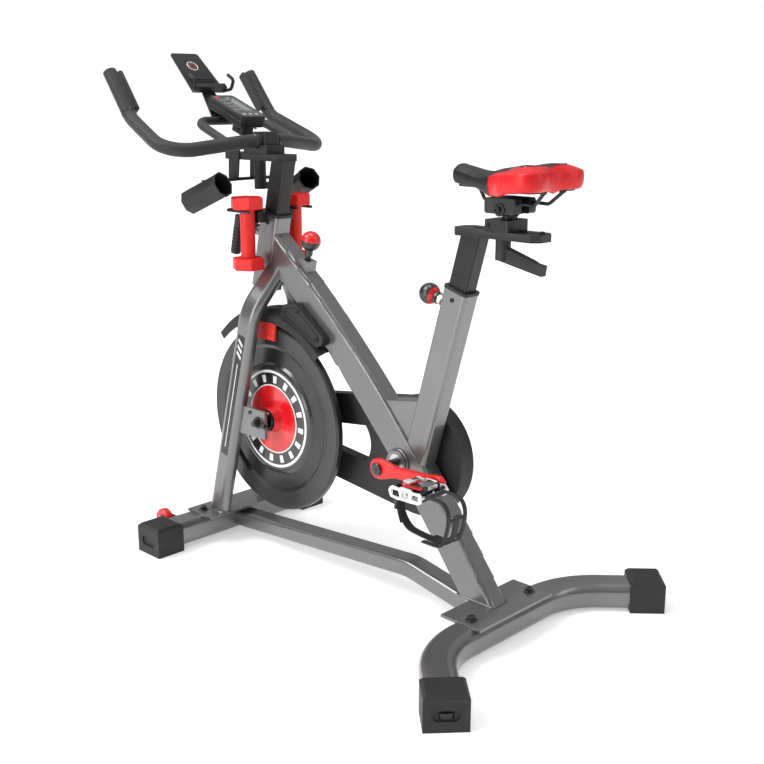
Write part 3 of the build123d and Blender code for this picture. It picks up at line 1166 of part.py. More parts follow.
cradle_z = BELL_TOP_Z - SLIDING - CRADLE_WIRE
CRADLE_HALF = BELL_HANDLE + CRADLE_WIRE + 1.5
with BuildPart() as dumbbell_cradles:
    for side in (-1, 1):
        with BuildLine() as cradle_path:
            inner_y, outer_y = side * (BELL_Y - CRADLE_HALF), side * (BELL_Y + CRADLE_HALF)
            FilletPolyline((248, inner_y, cradle_z), (334, inner_y, cradle_z), (334, outer_y, cradle_z),
                           (248, outer_y, cradle_z),
                           radius=14)
        with BuildSketch(Plane(origin=cradle_path.line @ 0, z_dir=cradle_path.line % 0)):
            Circle(CRADLE_WIRE)
        sweep(path=cradle_path.line)
        with BuildSketch(Plane.XY.offset(810)):
            with Locations((278, side * 38.5)):
                Rectangle(22, 30)
        extrude(amount=cradle_z - 810)
    add(head_envelope, mode=Mode.SUBTRACT)
    add(post_bushings.part, mode=Mode.SUBTRACT)
save(dumbbell_cradles, "dumbbell_cradles")
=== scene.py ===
"""Looks of the indoor spin bike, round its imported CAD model. Metres; +X forward, +Y rider's left, +Z up."""
import json
from math import cos, pi, radians, sin, tan

import bmesh
import bpy
from mathutils import Matrix, Vector


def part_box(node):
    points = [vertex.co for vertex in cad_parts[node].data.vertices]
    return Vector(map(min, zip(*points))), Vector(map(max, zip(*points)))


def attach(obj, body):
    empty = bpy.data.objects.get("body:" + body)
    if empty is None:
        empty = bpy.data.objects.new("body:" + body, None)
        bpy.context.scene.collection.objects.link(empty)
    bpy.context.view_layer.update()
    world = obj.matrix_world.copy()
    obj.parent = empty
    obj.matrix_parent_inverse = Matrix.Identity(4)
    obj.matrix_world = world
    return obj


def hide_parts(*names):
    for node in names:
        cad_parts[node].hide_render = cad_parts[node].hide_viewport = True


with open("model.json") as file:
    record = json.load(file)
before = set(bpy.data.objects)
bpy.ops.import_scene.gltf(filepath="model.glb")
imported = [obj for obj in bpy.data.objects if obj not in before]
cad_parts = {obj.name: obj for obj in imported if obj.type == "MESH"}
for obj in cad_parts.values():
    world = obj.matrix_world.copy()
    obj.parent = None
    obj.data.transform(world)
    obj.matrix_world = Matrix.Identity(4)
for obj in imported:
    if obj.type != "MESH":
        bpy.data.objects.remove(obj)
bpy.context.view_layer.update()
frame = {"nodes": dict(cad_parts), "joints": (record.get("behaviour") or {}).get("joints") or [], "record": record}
NODES = frame["nodes"]

# ---- places that the CAD model fixes ---------------------------------------------------------------


def middle(node):
    low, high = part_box(node)
    return (low + high) / 2


def joint(name):
    return next(j for j in frame["joints"] if j["name"] == name)


CRANK = Vector(joint("crank_spin")["pos_m"])
HUB = Vector(joint("flywheel_spin")["pos_m"])
PEDALS = {side: Vector(joint(f"pedal_{side}_spin")["pos_m"]) for side in ("left", "right")}
SIGN = {"left": 1, "right": -1}
HEAD_UP = Vector(joint("handlebar_height")["axis"])
SEAT_UP = Vector(joint("seat_height")["axis"])
KNOB_CENTRE = Vector(joint("resistance_turn")["pos_m"])
KNOB_DOWN = Vector(joint("resistance_turn")["axis"])
PIN_OUT = Vector(joint("seat_pin_pull")["axis"])
X, Y, Z = Vector((1, 0, 0)), Vector((0, 1, 0)), Vector((0, 0, 1))


# ---- material helpers ------------------------------------------------------------------------------
class Nodes:
    """Short names for the nodes of one material."""

    def __init__(self, name):
        self.material = bpy.data.materials.new(name)
        self.material.use_nodes = True
        self.tree = self.material.node_tree
        self.shader = self.tree.nodes["Principled BSDF"]
        self.coords = self.add("ShaderNodeTexCoord").outputs["Object"]

    def add(self, kind, **values):
        node = self.tree.nodes.new(kind)
        for key, value in values.items():
            setattr(node, key, value)
        return node

    def link(self, a, b):
        self.tree.links.new(a, b)

    def put(self, node, key, value):
        """Sets a socket to a number or colour, or links it to another socket."""
        if isinstance(value, bpy.types.NodeSocket):
            self.link(value, node.inputs[key])
        else:
            node.inputs[key].default_value = value

    def math(self, operation, a, b=0.0):
        node = self.add("ShaderNodeMath", operation=operation)
        self.put(node, 0, a)
        self.put(node, 1, b)
        return node.outputs[0]

    def mapped(self, scale, source=None):
        node = self.add("ShaderNodeMapping")
        self.link(source or self.coords, node.inputs["Vector"])
        node.inputs["Scale"].default_value = scale
        return node.outputs["Vector"]

    def noise(self, scale, detail=3.0, source=None, roughness=0.5):
        node = self.add("ShaderNodeTexNoise")
        self.link(source or self.coords, node.inputs["Vector"])
        node.inputs["Scale"].default_value = scale
        node.inputs["Detail"].default_value = detail
        node.inputs["Roughness"].default_value = roughness
        return node.outputs["Fac"]

    def cells(self, scale, feature="F1", source=None):
        node = self.add("ShaderNodeTexVoronoi", feature=feature)
        self.link(source or self.coords, node.inputs["Vector"])
        node.inputs["Scale"].default_value = scale
        return node.outputs["Distance"]

    def spread(self, value, low, high, from_low=0.3, from_high=0.7):
        node = self.add("ShaderNodeMapRange")
        self.link(value, node.inputs["Value"])
        for key, number in (("From Min", from_low), ("From Max", from_high), ("To Min", low),
                            ("To Max", high)):
            node.inputs[key].default_value = number
        return node.outputs["Result"]

    def blend(self, factor, a, b):
        node = self.add("ShaderNodeMix", data_type="RGBA")
        self.put(node, 0, factor)
        self.put(node, 6, a)
        self.put(node, 7, b)
        return node.outputs[2]

    def steps(self, value, stops, interpolation="CONSTANT"):
        """Colour by value; stops are (position, colour)."""
        node = self.add("ShaderNodeValToRGB")
        self.link(value, node.inputs["Fac"])
        ramp = node.color_ramp
        ramp.interpolation = interpolation
        while len(ramp.elements) < len(stops):
            ramp.elements.new(1.0)
        for element, (position, colour) in zip(ramp.elements, stops):
            element.position = position
            element.color = colour
        return node.outputs["Color"]

    def edges(self, low=0.52, high=0.60):
        """1 on convex edges, 0 elsewhere: where a lighter colour is painted on as an edge highlight."""
        pointiness = self.add("ShaderNodeNewGeometry").outputs["Pointiness"]
        return self.spread(pointiness, 0.0, 1.0, low, high)

    def surface(self, colour, roughness, metallic=0.0, specular=0.5, coat=0.0, coat_roughness=0.1,
                sheen=0.0):
        self.put(self.shader, "Base Color", colour)
        self.put(self.shader, "Roughness", roughness)
        self.shader.inputs["Metallic"].default_value = metallic
        self.shader.inputs["Specular IOR Level"].default_value = specular
        self.shader.inputs["Coat Weight"].default_value = coat
        self.shader.inputs["Coat Roughness"].default_value = coat_roughness
        self.shader.inputs["Sheen Weight"].default_value = sheen
        return self.material

    def relief(self, height, distance, round_edges=0.0008, strength=1.0):
        """Bump from a height, on edges that are softened by round_edges metres."""
        bump = self.add("ShaderNodeBump")
        bump.inputs["Strength"].default_value = strength
        bump.inputs["Distance"].default_value = distance
        self.link(height, bump.inputs["Height"])
        if round_edges:
            bevel = self.add("ShaderNodeBevel", samples=4)
            bevel.inputs["Radius"].default_value = round_edges
            self.link(bevel.outputs["Normal"], bump.inputs["Normal"])
        self.link(bump.outputs["Normal"], self.shader.inputs["Normal"])

    def radius_about(self, axis_point):
        """Distance from an axis along Y, and the angle round it."""
        split = self.add("ShaderNodeSeparateXYZ")
        self.link(self.coords, split.inputs[0])
        dx = self.math("SUBTRACT", split.outputs["X"], axis_point.x)
        dz = self.math("SUBTRACT", split.outputs["Z"], axis_point.z)
        squares = self.math("ADD", self.math("MULTIPLY", dx, dx), self.math("MULTIPLY", dz, dz))
        return self.math("SQRT", squares), self.math("ARCTAN2", dz, dx)

    def along(self, point, direction):
        """Distance of the surface point from a plane, along its direction."""
        offset = self.add("ShaderNodeVectorMath", operation="SUBTRACT")
        self.link(self.coords, offset.inputs[0])
        offset.inputs[1].default_value = point
        product = self.add("ShaderNodeVectorMath", operation="DOT_PRODUCT")
        self.link(offset.outputs[0], product.inputs[0])
        product.inputs[1].default_value = direction
        return product.outputs["Value"]


def grey(value, tint=0.0):
    return (value, value, value * (1 + tint), 1)


def shaded(n, colour, lighter, scale=9.0):
    """Colour with slow, faint variation over the surface."""
    return n.blend(n.spread(n.noise(scale, 4), 0.0, 1.0), colour, lighter)


RED, RED_LIGHT = (0.60, 0.005, 0.007, 1), (0.68, 0.014, 0.014, 1)


# ---- materials -------------------------------------------------------------------------------------
def metallic_paint():
    n = Nodes("frame_paint")
    flakes = n.spread(n.cells(2600), 0.0, 1.0, 0.2, 0.75)
    colour = n.blend(n.math("MULTIPLY", flakes, 0.35), grey(0.145, 0.01), grey(0.225, 0.01))
    # Convex edges blend towards a lighter grey: a painted edge highlight.
    painted_edge_highlight = n.blend(n.math("MULTIPLY", n.edges(), 0.30), colour, grey(0.26))
    n.relief(n.noise(160, 3), 0.00010, 0.0014)
    return n.surface(painted_edge_highlight, n.spread(n.noise(24, 4), 0.27, 0.35), 0.70, 0.5, 0.45, 0.10)


def satin_black():
    n = Nodes("satin_black_steel")
    # Convex edges blend towards a lighter grey: a painted edge highlight.
    colour = n.blend(n.math("MULTIPLY", n.edges(), 0.5), shaded(n, grey(0.009), grey(0.014)), grey(0.035))
    n.relief(n.noise(420, 3), 0.00010, 0.0009)
    return n.surface(colour, n.spread(n.noise(30, 4), 0.32, 0.44), 0.0, 0.34)


def moulded_black():
    n = Nodes("moulded_black_plastic")
    grain = n.math("ADD", n.cells(1500), n.math("MULTIPLY", n.noise(700, 2), 0.5))
    # Convex edges blend towards a lighter grey: a painted edge highlight.
    colour = n.blend(n.math("MULTIPLY", n.edges(), 0.4), shaded(n, grey(0.011), grey(0.016)), grey(0.035))
    n.relief(grain, 0.00012, 0.0010)
    return n.surface(colour, n.spread(n.noise(16, 4), 0.42, 0.56), 0.0, 0.30)


def gloss_black():
    n = Nodes("gloss_black_plastic")
    n.relief(n.noise(70, 2), 0.00005, 0.0008)
    return n.surface(shaded(n, grey(0.010), grey(0.016)), n.spread(n.noise(30, 4), 0.14, 0.24), 0.0, 0.5,
                     0.4, 0.06)


def flywheel_black():
    """Painted cast iron with turned rings on its faces."""
    n = Nodes("flywheel_iron")
    radius, _ = n.radius_about(HUB)
    turned = n.math("SINE", n.math("MULTIPLY", radius, 5200.0))
    height = n.math("ADD", n.math("MULTIPLY", turned, 0.25), n.noise(240, 3))
    # Convex edges blend towards a lighter grey: a painted edge highlight.
    colour = n.blend(n.math("MULTIPLY", n.edges(0.51, 0.57), 0.5),
                     shaded(n, grey(0.008), grey(0.014), 5.0), grey(0.05))
    n.relief(height, 0.00006, 0.0012)
    return n.surface(colour, n.spread(n.noise(7, 4), 0.24, 0.36), 0.10, 0.5, 0.25, 0.15)


def badge():
    """Printed disc: plain rings, white, black and red, with faint sunburst sectors in the red."""
    n = Nodes("flywheel_badge")
    radius, angle = n.radius_about(HUB)
    share = n.math("DIVIDE", radius, 0.2)
    sectors = n.math("GREATER_THAN", n.math("SINE", n.math("MULTIPLY", angle, 4.0)), 0.35)
    red = n.blend(n.math("MULTIPLY", sectors, 0.55), (0.66, 0.006, 0.012, 1), (0.86, 0.045, 0.050, 1))
    clear, ink, white = (0, 0, 0, 1), grey(0.012), grey(0.82)
    rings = n.steps(share, [(0.0, ink), (0.135, clear), (0.410, white), (0.424, ink), (0.570, white),
                            (0.600, grey(0.020))])
    ticks = n.math("GREATER_THAN", n.math("SINE", n.math("MULTIPLY", angle, 16.0)), 0.55)
    band = n.math("MULTIPLY", n.math("GREATER_THAN", radius, 0.0905), n.math("LESS_THAN", radius, 0.1085))
    rings = n.blend(n.math("MULTIPLY", ticks, band), rings, white)
    in_red = n.math("MULTIPLY", n.math("GREATER_THAN", radius, 0.0272), n.math("LESS_THAN", radius, 0.0820))
    n.relief(n.noise(300, 2), 0.00004, 0.0008)
    return n.surface(n.blend(in_red, rings, red), n.spread(n.noise(12, 3), 0.20, 0.30), 0.0, 0.5, 0.5, 0.08)


def red_gloss():
    n = Nodes("red_gloss_paint")
    # Convex edges blend towards a lighter, more orange red: a painted edge highlight.
    colour = n.blend(n.math("MULTIPLY", n.edges(), 0.35), shaded(n, RED, RED_LIGHT), (0.9, 0.10, 0.08, 1))
    n.relief(n.noise(90, 3), 0.00008, 0.0012)
    return n.surface(colour, n.spread(n.noise(20, 4), 0.24, 0.34), 0.0, 0.42, 0.15, 0.10)


def red_vinyl():
    n = Nodes("red_dipped_vinyl")
    n.relief(n.math("ADD", n.cells(520), n.noise(900, 2)), 0.00018, 0.0015)
    return n.surface(shaded(n, (0.68, 0.007, 0.007, 1), (0.74, 0.018, 0.016, 1)),
                     n.spread(n.noise(14, 4), 0.42, 0.56), 0.0, 0.4)


def turned_steel():
    n = Nodes("turned_steel")
    streaks = n.noise(60, 4, n.mapped((1, 60, 1)))
    n.relief(streaks, 0.00006, 0.0006)
    return n.surface(n.blend(streaks, grey(0.46), grey(0.62)), n.spread(streaks, 0.22, 0.38), 1.0)


def pedal_alloy():
    n = Nodes("pedal_alloy")
    brushed = n.noise(30, 5, n.mapped((1, 3, 40)))
    # Convex edges blend towards near white: a painted edge highlight.
    colour = n.blend(n.math("MULTIPLY", n.edges(), 0.6), n.blend(brushed, grey(0.78), grey(0.90)),
                     grey(0.95))
    n.relief(brushed, 0.00006, 0.0006)
    return n.surface(colour, n.spread(brushed, 0.18, 0.32), 0.55)


def red_anodised():
    n = Nodes("red_anodised")
    brushed = n.noise(40, 4, n.mapped((1, 20, 1)))
    n.relief(brushed, 0.00005, 0.0006)
    return n.surface(n.blend(brushed, (0.55, 0.008, 0.02, 1), (0.74, 0.02, 0.03, 1)),
                     n.spread(brushed, 0.24, 0.36), 0.6)


def belt_rubber():
    """Ribs run the length of the belt."""
    n = Nodes("belt_rubber")
    split = n.add("ShaderNodeSeparateXYZ")
    n.link(n.coords, split.inputs[0])
    ribs = n.math("SINE", n.math("MULTIPLY", split.outputs["Y"], 2600.0))
    n.relief(ribs, 0.0003, 0)
    return n.surface(shaded(n, grey(0.014), grey(0.022)), n.spread(n.noise(200, 3), 0.60, 0.78), 0.0, 0.3)


def bar_foam():
    """Fine closed cells, with a soft sheen."""
    n = Nodes("handlebar_foam")
    cells = n.math("ADD", n.cells(950), n.math("MULTIPLY", n.noise(2200, 3), 0.6))
    n.relief(cells, 0.00022, 0.0010)
    return n.surface(shaded(n, grey(0.011), grey(0.017)), n.spread(n.noise(26, 5), 0.46, 0.62), 0.0, 0.42,
                     0.0, 0.1, 0.12)


def cover_leather(name, dark, light, low, high):
    """Synthetic leather: pebbled grain in two sizes."""
    n = Nodes(name)
    pebbles = n.cells(620, "SMOOTH_F1")
    grain = n.math("ADD", n.math("MULTIPLY", pebbles, 0.8), n.math("MULTIPLY", n.noise(1500, 3), 0.35))
    n.relief(grain, 0.00030, 0)
    creases = n.spread(n.noise(38, 5), 0.0, 1.0, 0.35, 0.65)
    return n.surface(n.blend(creases, dark, light), n.spread(n.noise(30, 5), low, high), 0.0, 0.30)


def console_face():
    n = Nodes("console_face")
    n.relief(n.cells(1600), 0.00004, 0.0005)
    return n.surface(shaded(n, grey(0.055, 0.04), grey(0.075, 0.04), 30),
                     n.spread(n.noise(40, 3), 0.34, 0.44), 0.0, 0.5)


def screen():
    """Dark reflective display with faint pixel rows."""
    n = Nodes("console_screen")
    rows = n.math("SINE", n.math("MULTIPLY", n.along(middle("console"), (1, 0, 0)), 5200.0))
    colour = n.blend(n.spread(rows, 0.0, 0.5, -1, 1), (0.17, 0.19, 0.19, 1), (0.22, 0.24, 0.24, 1))
    return n.surface(colour, n.spread(n.noise(50, 2), 0.08, 0.14), 0.0, 0.5, 0.6, 0.03)


def key_rubber():
    n = Nodes("key_rubber")
    n.relief(n.noise(900, 2), 0.00010, 0.0006)
    return n.surface(shaded(n, grey(0.40), grey(0.48), 60), n.spread(n.noise(80, 3), 0.50, 0.62), 0.0, 0.35)


def printed(name, value):
    n = Nodes(name)
    n.relief(n.noise(500, 2), 0.00003, 0)
    return n.surface(shaded(n, grey(value), grey(value * 1.2), 25), n.spread(n.noise(60, 3), 0.34, 0.46),
                     0.0, 0.45)


def knob_two_tone():
    """Red above the knob's parting line and black below it."""
    n = Nodes("knob_two_tone")
    red = n.math("LESS_THAN", n.along(KNOB_CENTRE, KNOB_DOWN), -0.0015)
    n.relief(n.cells(700), 0.00010, 0.0006)
    return n.surface(n.blend(red, shaded(n, grey(0.012), grey(0.02)), shaded(n, RED, RED_LIGHT)),
                     n.spread(n.noise(30, 3), 0.26, 0.36), 0.0, 0.5, 0.3, 0.1)


def pin_banded():
    """Black ball with a red ring round its neck and a red spot on its end."""
    n = Nodes("pin_banded")
    ball = pin_ball_centre()
    along = n.along(ball, PIN_OUT)
    colour = n.steps(n.spread(along, 0.0, 1.0, -0.03, 0.03),
                     [(0.0, grey(0.012)), (0.19, RED), (0.31, grey(0.014)), (0.80, RED)])
    n.relief(n.cells(700), 0.00010, 0.0006)
    return n.surface(colour, n.spread(n.noise(30, 3), 0.26, 0.36), 0.0, 0.5, 0.3, 0.1)


def pin_ball_centre():
    """Centre of the pull pin's ball: its outermost end, less the radius."""
    low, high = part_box("seat_pin")
    radius = (high.y - low.y) / 2
    return Vector((high.x - radius, 0, high.z - radius))


FLOOR_GLOW = 0.40


def pale_floor():
    n = Nodes("studio_floor")
    n.relief(n.noise(3, 2), 0.0002, 0)
    n.shader.inputs["Emission Color"].default_value = grey(1.0)
    n.shader.inputs["Emission Strength"].default_value = FLOOR_GLOW
    return n.surface(shaded(n, grey(0.80), grey(0.82), 0.6), n.spread(n.noise(2, 2), 0.55, 0.65), 0.0, 0.2)


MATERIALS = {"frame_paint": metallic_paint(), "black_steel": satin_black(),
             "black_plastic": moulded_black(), "gloss_black": gloss_black(),
             "flywheel_iron": flywheel_black(), "badge": badge(), "red_paint": red_gloss(),
             "red_vinyl": red_vinyl(), "red_plastic": red_gloss(), "bare_steel": turned_steel(),
             "pedal_alloy": pedal_alloy(), "belt_rubber": belt_rubber(), "foam": bar_foam(),
             "console_plastic": moulded_black(), "button_rubber": key_rubber(),
             "saddle_cover": cover_leather("saddle_black", grey(0.011), grey(0.018), 0.26, 0.40),
             "saddle_red": cover_leather("saddle_red", (0.58, 0.006, 0.010, 1), (0.66, 0.014, 0.018, 1),
                                         0.24, 0.36), "red_anodised": red_anodised(),
             "face": console_face(), "screen": screen(), "print_light": printed("light_print", 0.62),
             "print_dark": printed("dark_print", 0.022), "knob": knob_two_tone(), "pin": pin_banded(), }
SPECIAL = {"resistance_knob": "knob", "seat_pin": "pin", "crank_bearings": "bare_steel"}
for subpart in frame["record"]["subparts"]:
    node = subpart["node"]
    NODES[node].data.materials.clear()
    NODES[node].data.materials.append(MATERIALS[SPECIAL.get(node, subpart["material_slot"])])


# ---- mesh helpers ----------------------------------------------------------------------------------
def finish_piece(piece, body, slot, material, replaced=(), angle=35):
    """Materials, smooth shading by angle, and the piece's place in the frame."""
    if piece.name not in bpy.context.scene.collection.objects:
        bpy.context.scene.collection.objects.link(piece)
    if not piece.data.materials:
        for name in [material] if isinstance(material, str) else material:
            piece.data.materials.append(MATERIALS[name])
    piece.data.shade_smooth()
    sharp = bmesh.new()
    sharp.from_mesh(piece.data)
    for edge in sharp.edges:
        edge.smooth = len(edge.link_faces) < 2 or edge.calc_face_angle(0) < radians(angle)
    sharp.to_mesh(piece.data)
    sharp.free()
    if replaced:
        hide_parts(*replaced)
    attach(piece, body)
    return piece


def group(name, pieces, *rest, **options):
    """Joins pieces into one and finishes it."""
    return finish_piece(joined(name, pieces), *rest, **options)


def mesh_object(name, points, faces):
    mesh = bpy.data.meshes.new(name)
    mesh.from_pydata([tuple(p) for p in points], [], faces)
    mesh.validate()
    cleaned = bmesh.new()
    cleaned.from_mesh(mesh)
    bmesh.ops.remove_doubles(cleaned, verts=cleaned.verts, dist=1e-6)
    bmesh.ops.recalc_face_normals(cleaned, faces=cleaned.faces)
    cleaned.to_mesh(mesh)
    cleaned.free()
    return bpy.data.objects.new(name, mesh)


def curve_to_object(name, curve):
    """Mesh object from curve data; the curve itself is removed."""
    holder = bpy.data.objects.new(name + "_curve", curve)
    bpy.context.scene.collection.objects.link(holder)
    graph = bpy.context.evaluated_depsgraph_get()
    mesh = bpy.data.meshes.new_from_object(holder.evaluated_get(graph))
    bpy.data.objects.remove(holder)
    bpy.data.curves.remove(curve)
    mesh.materials.clear()
    welded = bmesh.new()
    welded.from_mesh(mesh)
    bmesh.ops.remove_doubles(welded, verts=welded.verts, dist=1e-6)
    bmesh.ops.recalc_face_normals(welded, faces=welded.faces)
    welded.to_mesh(mesh)
    welded.free()
    mesh.name = name
    return bpy.data.objects.new(name, mesh)


def joined(name, objects):
    """One object from several, each with its materials kept."""
    whole = bmesh.new()
    slots = []
    for piece in objects:
        part = bmesh.new()
        part.from_mesh(piece.data)
        shift = {}
        for i, material in enumerate(piece.data.materials):
            if material not in slots:
                slots.append(material)
            shift[i] = slots.index(material)
        for face in part.faces:
            face.material_index = shift.get(face.material_index, 0)
        merged = bpy.data.meshes.new("merged")
        part.to_mesh(merged)
        part.free()
        whole.from_mesh(merged)
        bpy.data.meshes.remove(merged)
    mesh = bpy.data.meshes.new(name)
    whole.to_mesh(mesh)
    whole.free()
    for piece in objects:
        bpy.data.objects.remove(piece)
    for material in slots:
        mesh.materials.append(material)
    return bpy.data.objects.new(name, mesh)


def painted(piece, material):
    piece.data.materials.clear()
    piece.data.materials.append(MATERIALS[material])
    return piece


def basis(normal, u_axis):
    """3x3 matrix whose columns are u, v and the normal."""
    normal = Vector(normal).normalized()
    u = (Vector(u_axis) - normal * normal.dot(Vector(u_axis))).normalized()
    return Matrix((u, normal.cross(u), normal)).transposed()


def placed(piece, origin, normal, u_axis):
    """Moves a mesh from its own XY plane to a plane in the frame."""
    piece.data.transform(Matrix.Translation(Vector(origin)) @ basis(normal, u_axis).to_4x4())
    return piece


def plate(name, loops, origin, normal, u_axis, depth, bevel=0.0005, bevel_steps=2):
    """Flat piece from an outline and its holes, which rises from origin along normal."""
    curve = bpy.data.curves.new(name, "CURVE")
    curve.dimensions = "2D"
    curve.fill_mode = "BOTH"
    curve.extrude = max(depth / 2 - bevel, 1e-5)
    curve.bevel_depth = bevel
    curve.bevel_resolution = bevel_steps
    curve.offset = -bevel
    for loop in loops:
        spline = curve.splines.new("POLY")
        spline.points.add(len(loop) - 1)
        for point, (u, v) in zip(spline.points, loop):
            point.co = (u, v, 0, 1)
        spline.use_cyclic_u = True
    piece = curve_to_object(name, curve)
    return placed(piece, Vector(origin) + Vector(normal).normalized() * depth / 2, normal, u_axis)


def ring_points(radius, count=48, centre=(0, 0), start=0.0, sweep=2 * pi):
    last = count if abs(sweep - 2 * pi) < 1e-6 else count - 1
    return [(centre[0] + radius * cos(start + sweep * i / last), centre[1]
             + radius * sin(start + sweep * i / last)) for i in range(count)]


def rounded(corners, radius, steps=5):
    """Outline with its corners rounded; radius is one number or one for each corner."""
    points = []
    count = len(corners)
    for i, corner in enumerate(corners):
        here = Vector(corner)
        before, after = Vector(corners[i - 1]) - here, Vector(corners[(i + 1) % count]) - here
        size = radius[i] if isinstance(radius, (list, tuple)) else radius
        half = before.angle(after) / 2
        reach = min(size / max(tan(half), 1e-4), 0.49 * before.length, 0.49 * after.length)
        a, b = here + before.normalized() * reach, here + after.normalized() * reach
        for k in range(steps + 1):
            t = k / steps
            points.append(tuple(a * (1 - t) ** 2 + here * 2 * t * (1 - t) + b * t ** 2))
    return points


def block(width, height, radius, centre=(0, 0)):
    u, v = width / 2, height / 2
    corners = [(centre[0] + a * u, centre[1] + b * v) for a, b in ((-1, -1), (1, -1), (1, 1), (-1, 1))]
    return rounded(corners, radius)


def lathe(name, profile, origin, axis, segments=56):
    """Turned piece from (radius, distance along axis), closed on the axis or on itself."""
    rows = []
    for radius, along in profile:
        rows.append([(radius * cos(2 * pi * k / segments), radius * sin(2 * pi * k / segments), along)
                     for k in range(segments)])
    points = [p for row in rows for p in row]
    faces = []
    ring = profile[0][0] > 1e-6 and profile[-1][0] > 1e-6
    pairs = [(i, i + 1) for i in range(len(rows) - 1)] + ([(len(rows) - 1, 0)] if ring else [])
    for a, b in pairs:
        for k in range(segments):
            k2 = (k + 1) % segments
            faces.append((a * segments + k, a * segments + k2, b * segments + k2, b * segments + k))
    piece = mesh_object(name, points, faces)
    return placed(piece, origin, axis, Z if abs(Vector(axis).normalized().z) < 0.9 else X)


def rod(name, points, radius, closed=False, smooth=True, sides=10):
    """Round rod along points; smooth rods follow a NURBS line with those control points."""
    curve = bpy.data.curves.new(name, "CURVE")
    curve.dimensions = "3D"
    curve.bevel_depth = radius
    curve.bevel_resolution = sides // 2
    curve.use_fill_caps = not closed
    curve.resolution_u = 10
    spline = curve.splines.new("NURBS" if smooth else "POLY")
    spline.points.add(len(points) - 1)
    for point, place in zip(spline.points, points):
        point.co = (*place, 1)
    if smooth:
        spline.order_u = 3
        spline.use_endpoint_u = not closed
    spline.use_cyclic_u = closed
    return curve_to_object(name, curve)


def smooth_path(points, steps=6):
    """Points along a Catmull-Rom line through the given points."""
    line = [Vector(p) for p in points]
    line = [2 * line[0] - line[1]] + line + [2 * line[-1] - line[-2]]
    path = []
    for a, b, c, d in zip(line, line[1:], line[2:], line[3:]):
        for k in range(steps):
            t = k / steps
            square, cube = 2 * a - 5 * b + 4 * c - d, 3 * b - a - 3 * c + d
            path.append(0.5 * (2 * b + (c - a) * t + square * t ** 2 + cube * t ** 3))
    return path + [line[-2]]


def strap(name, points, across, width, thick, steps=6):
    """Flat band along a smooth line; across is the direction of its width."""
    path = smooth_path(points, steps)
    across = Vector(across).normalized()
    corner = min(thick, width) * 0.3
    section = [(-width / 2 + corner, -thick / 2), (width / 2 - corner, -thick / 2),
               (width / 2, -thick / 2 + corner), (width / 2, thick / 2 - corner),
               (width / 2 - corner, thick / 2), (-width / 2 + corner, thick / 2),
               (-width / 2, thick / 2 - corner), (-width / 2, -thick / 2 + corner)]
    verts, faces = [], []
    for i, place in enumerate(path):
        heading = (path[min(i + 1, len(path) - 1)] - path[max(i - 1, 0)]).normalized()
        normal = across.cross(heading).normalized()
        verts += [place + across * a + normal * b for a, b in section]
    size = len(section)
    for i in range(len(path) - 1):
        for k in range(size):
            k2 = (k + 1) % size
            faces.append((i * size + k, i * size + k2, (i + 1) * size + k2, (i + 1) * size + k))
    faces.append(tuple(range(size)))
    faces.append(tuple((len(path) - 1) * size + k for k in range(size)))
    return mesh_object(name, verts, faces)


def hexagon(across_flats, turn=0.0):
    return ring_points(across_flats / 2 / cos(pi / 6), 6, start=turn)


def socket_screw(origin, axis, radius=0.0045, height=0.004):
    """Round head with a hexagonal socket."""
    axis = Vector(axis).normalized()
    u = Z if abs(axis.z) < 0.9 else X
    base = plate("screw_base", [ring_points(radius, 28)], origin, axis, u, height * 0.45, 0.0002)
    top = plate("screw_top", [ring_points(radius, 28), hexagon(radius * 1.05)],
                Vector(origin) + axis * height * 0.4, axis, u, height * 0.6, min(0.0006, height * 0.2))
    return joined("screw", [base, top])


def hex_bolt(origin, axis, across=0.013, height=0.006, washer=0.011):
    """Hexagon head on a washer, with a shallow dish in the head."""
    axis = Vector(axis).normalized()
    u = Z if abs(axis.z) < 0.9 else X
    pad = plate("bolt_washer", [ring_points(washer, 36)], origin, axis, u, 0.0018, 0.0004)
    head = plate("bolt_head", [hexagon(across, 0.3), ring_points(across * 0.22, 20)],
                 Vector(origin) + axis * 0.0016, axis, u, height, 0.0006)
    dish = plate("bolt_dish", [ring_points(across * 0.24, 20)], Vector(origin) + axis * 0.0016, axis, u,
                 height * 0.6, 0.0002)
    return joined("bolt", [pad, head, dish])


# ---- saddle ----------------------------------------------------------------------------------------
# behind the nose, and half width
SADDLE_OUTLINE = [(0.000, 0.000), (0.003, 0.010), (0.013, 0.0185), (0.050, 0.0245), (0.090, 0.032),
                  (0.130, 0.051), (0.168, 0.076), (0.206, 0.0885), (0.235, 0.085), (0.2475, 0.064),
                  (0.245, 0.038), (0.2365, 0.014), (0.2345, 0.000)]
SADDLE_SPINE = (0.022, 0.205)          # the part of the middle line that the cover is raised from
RED_START = 0.116                      # where the side panels begin, behind the nose
PANEL_RING = 6                         # ring of points where the side panels meet the top
UNDER_RINGS = 4                        # rings under the cushion
NOSE_GAP = 0.002                       # from the CAD model's nose to the cushion's
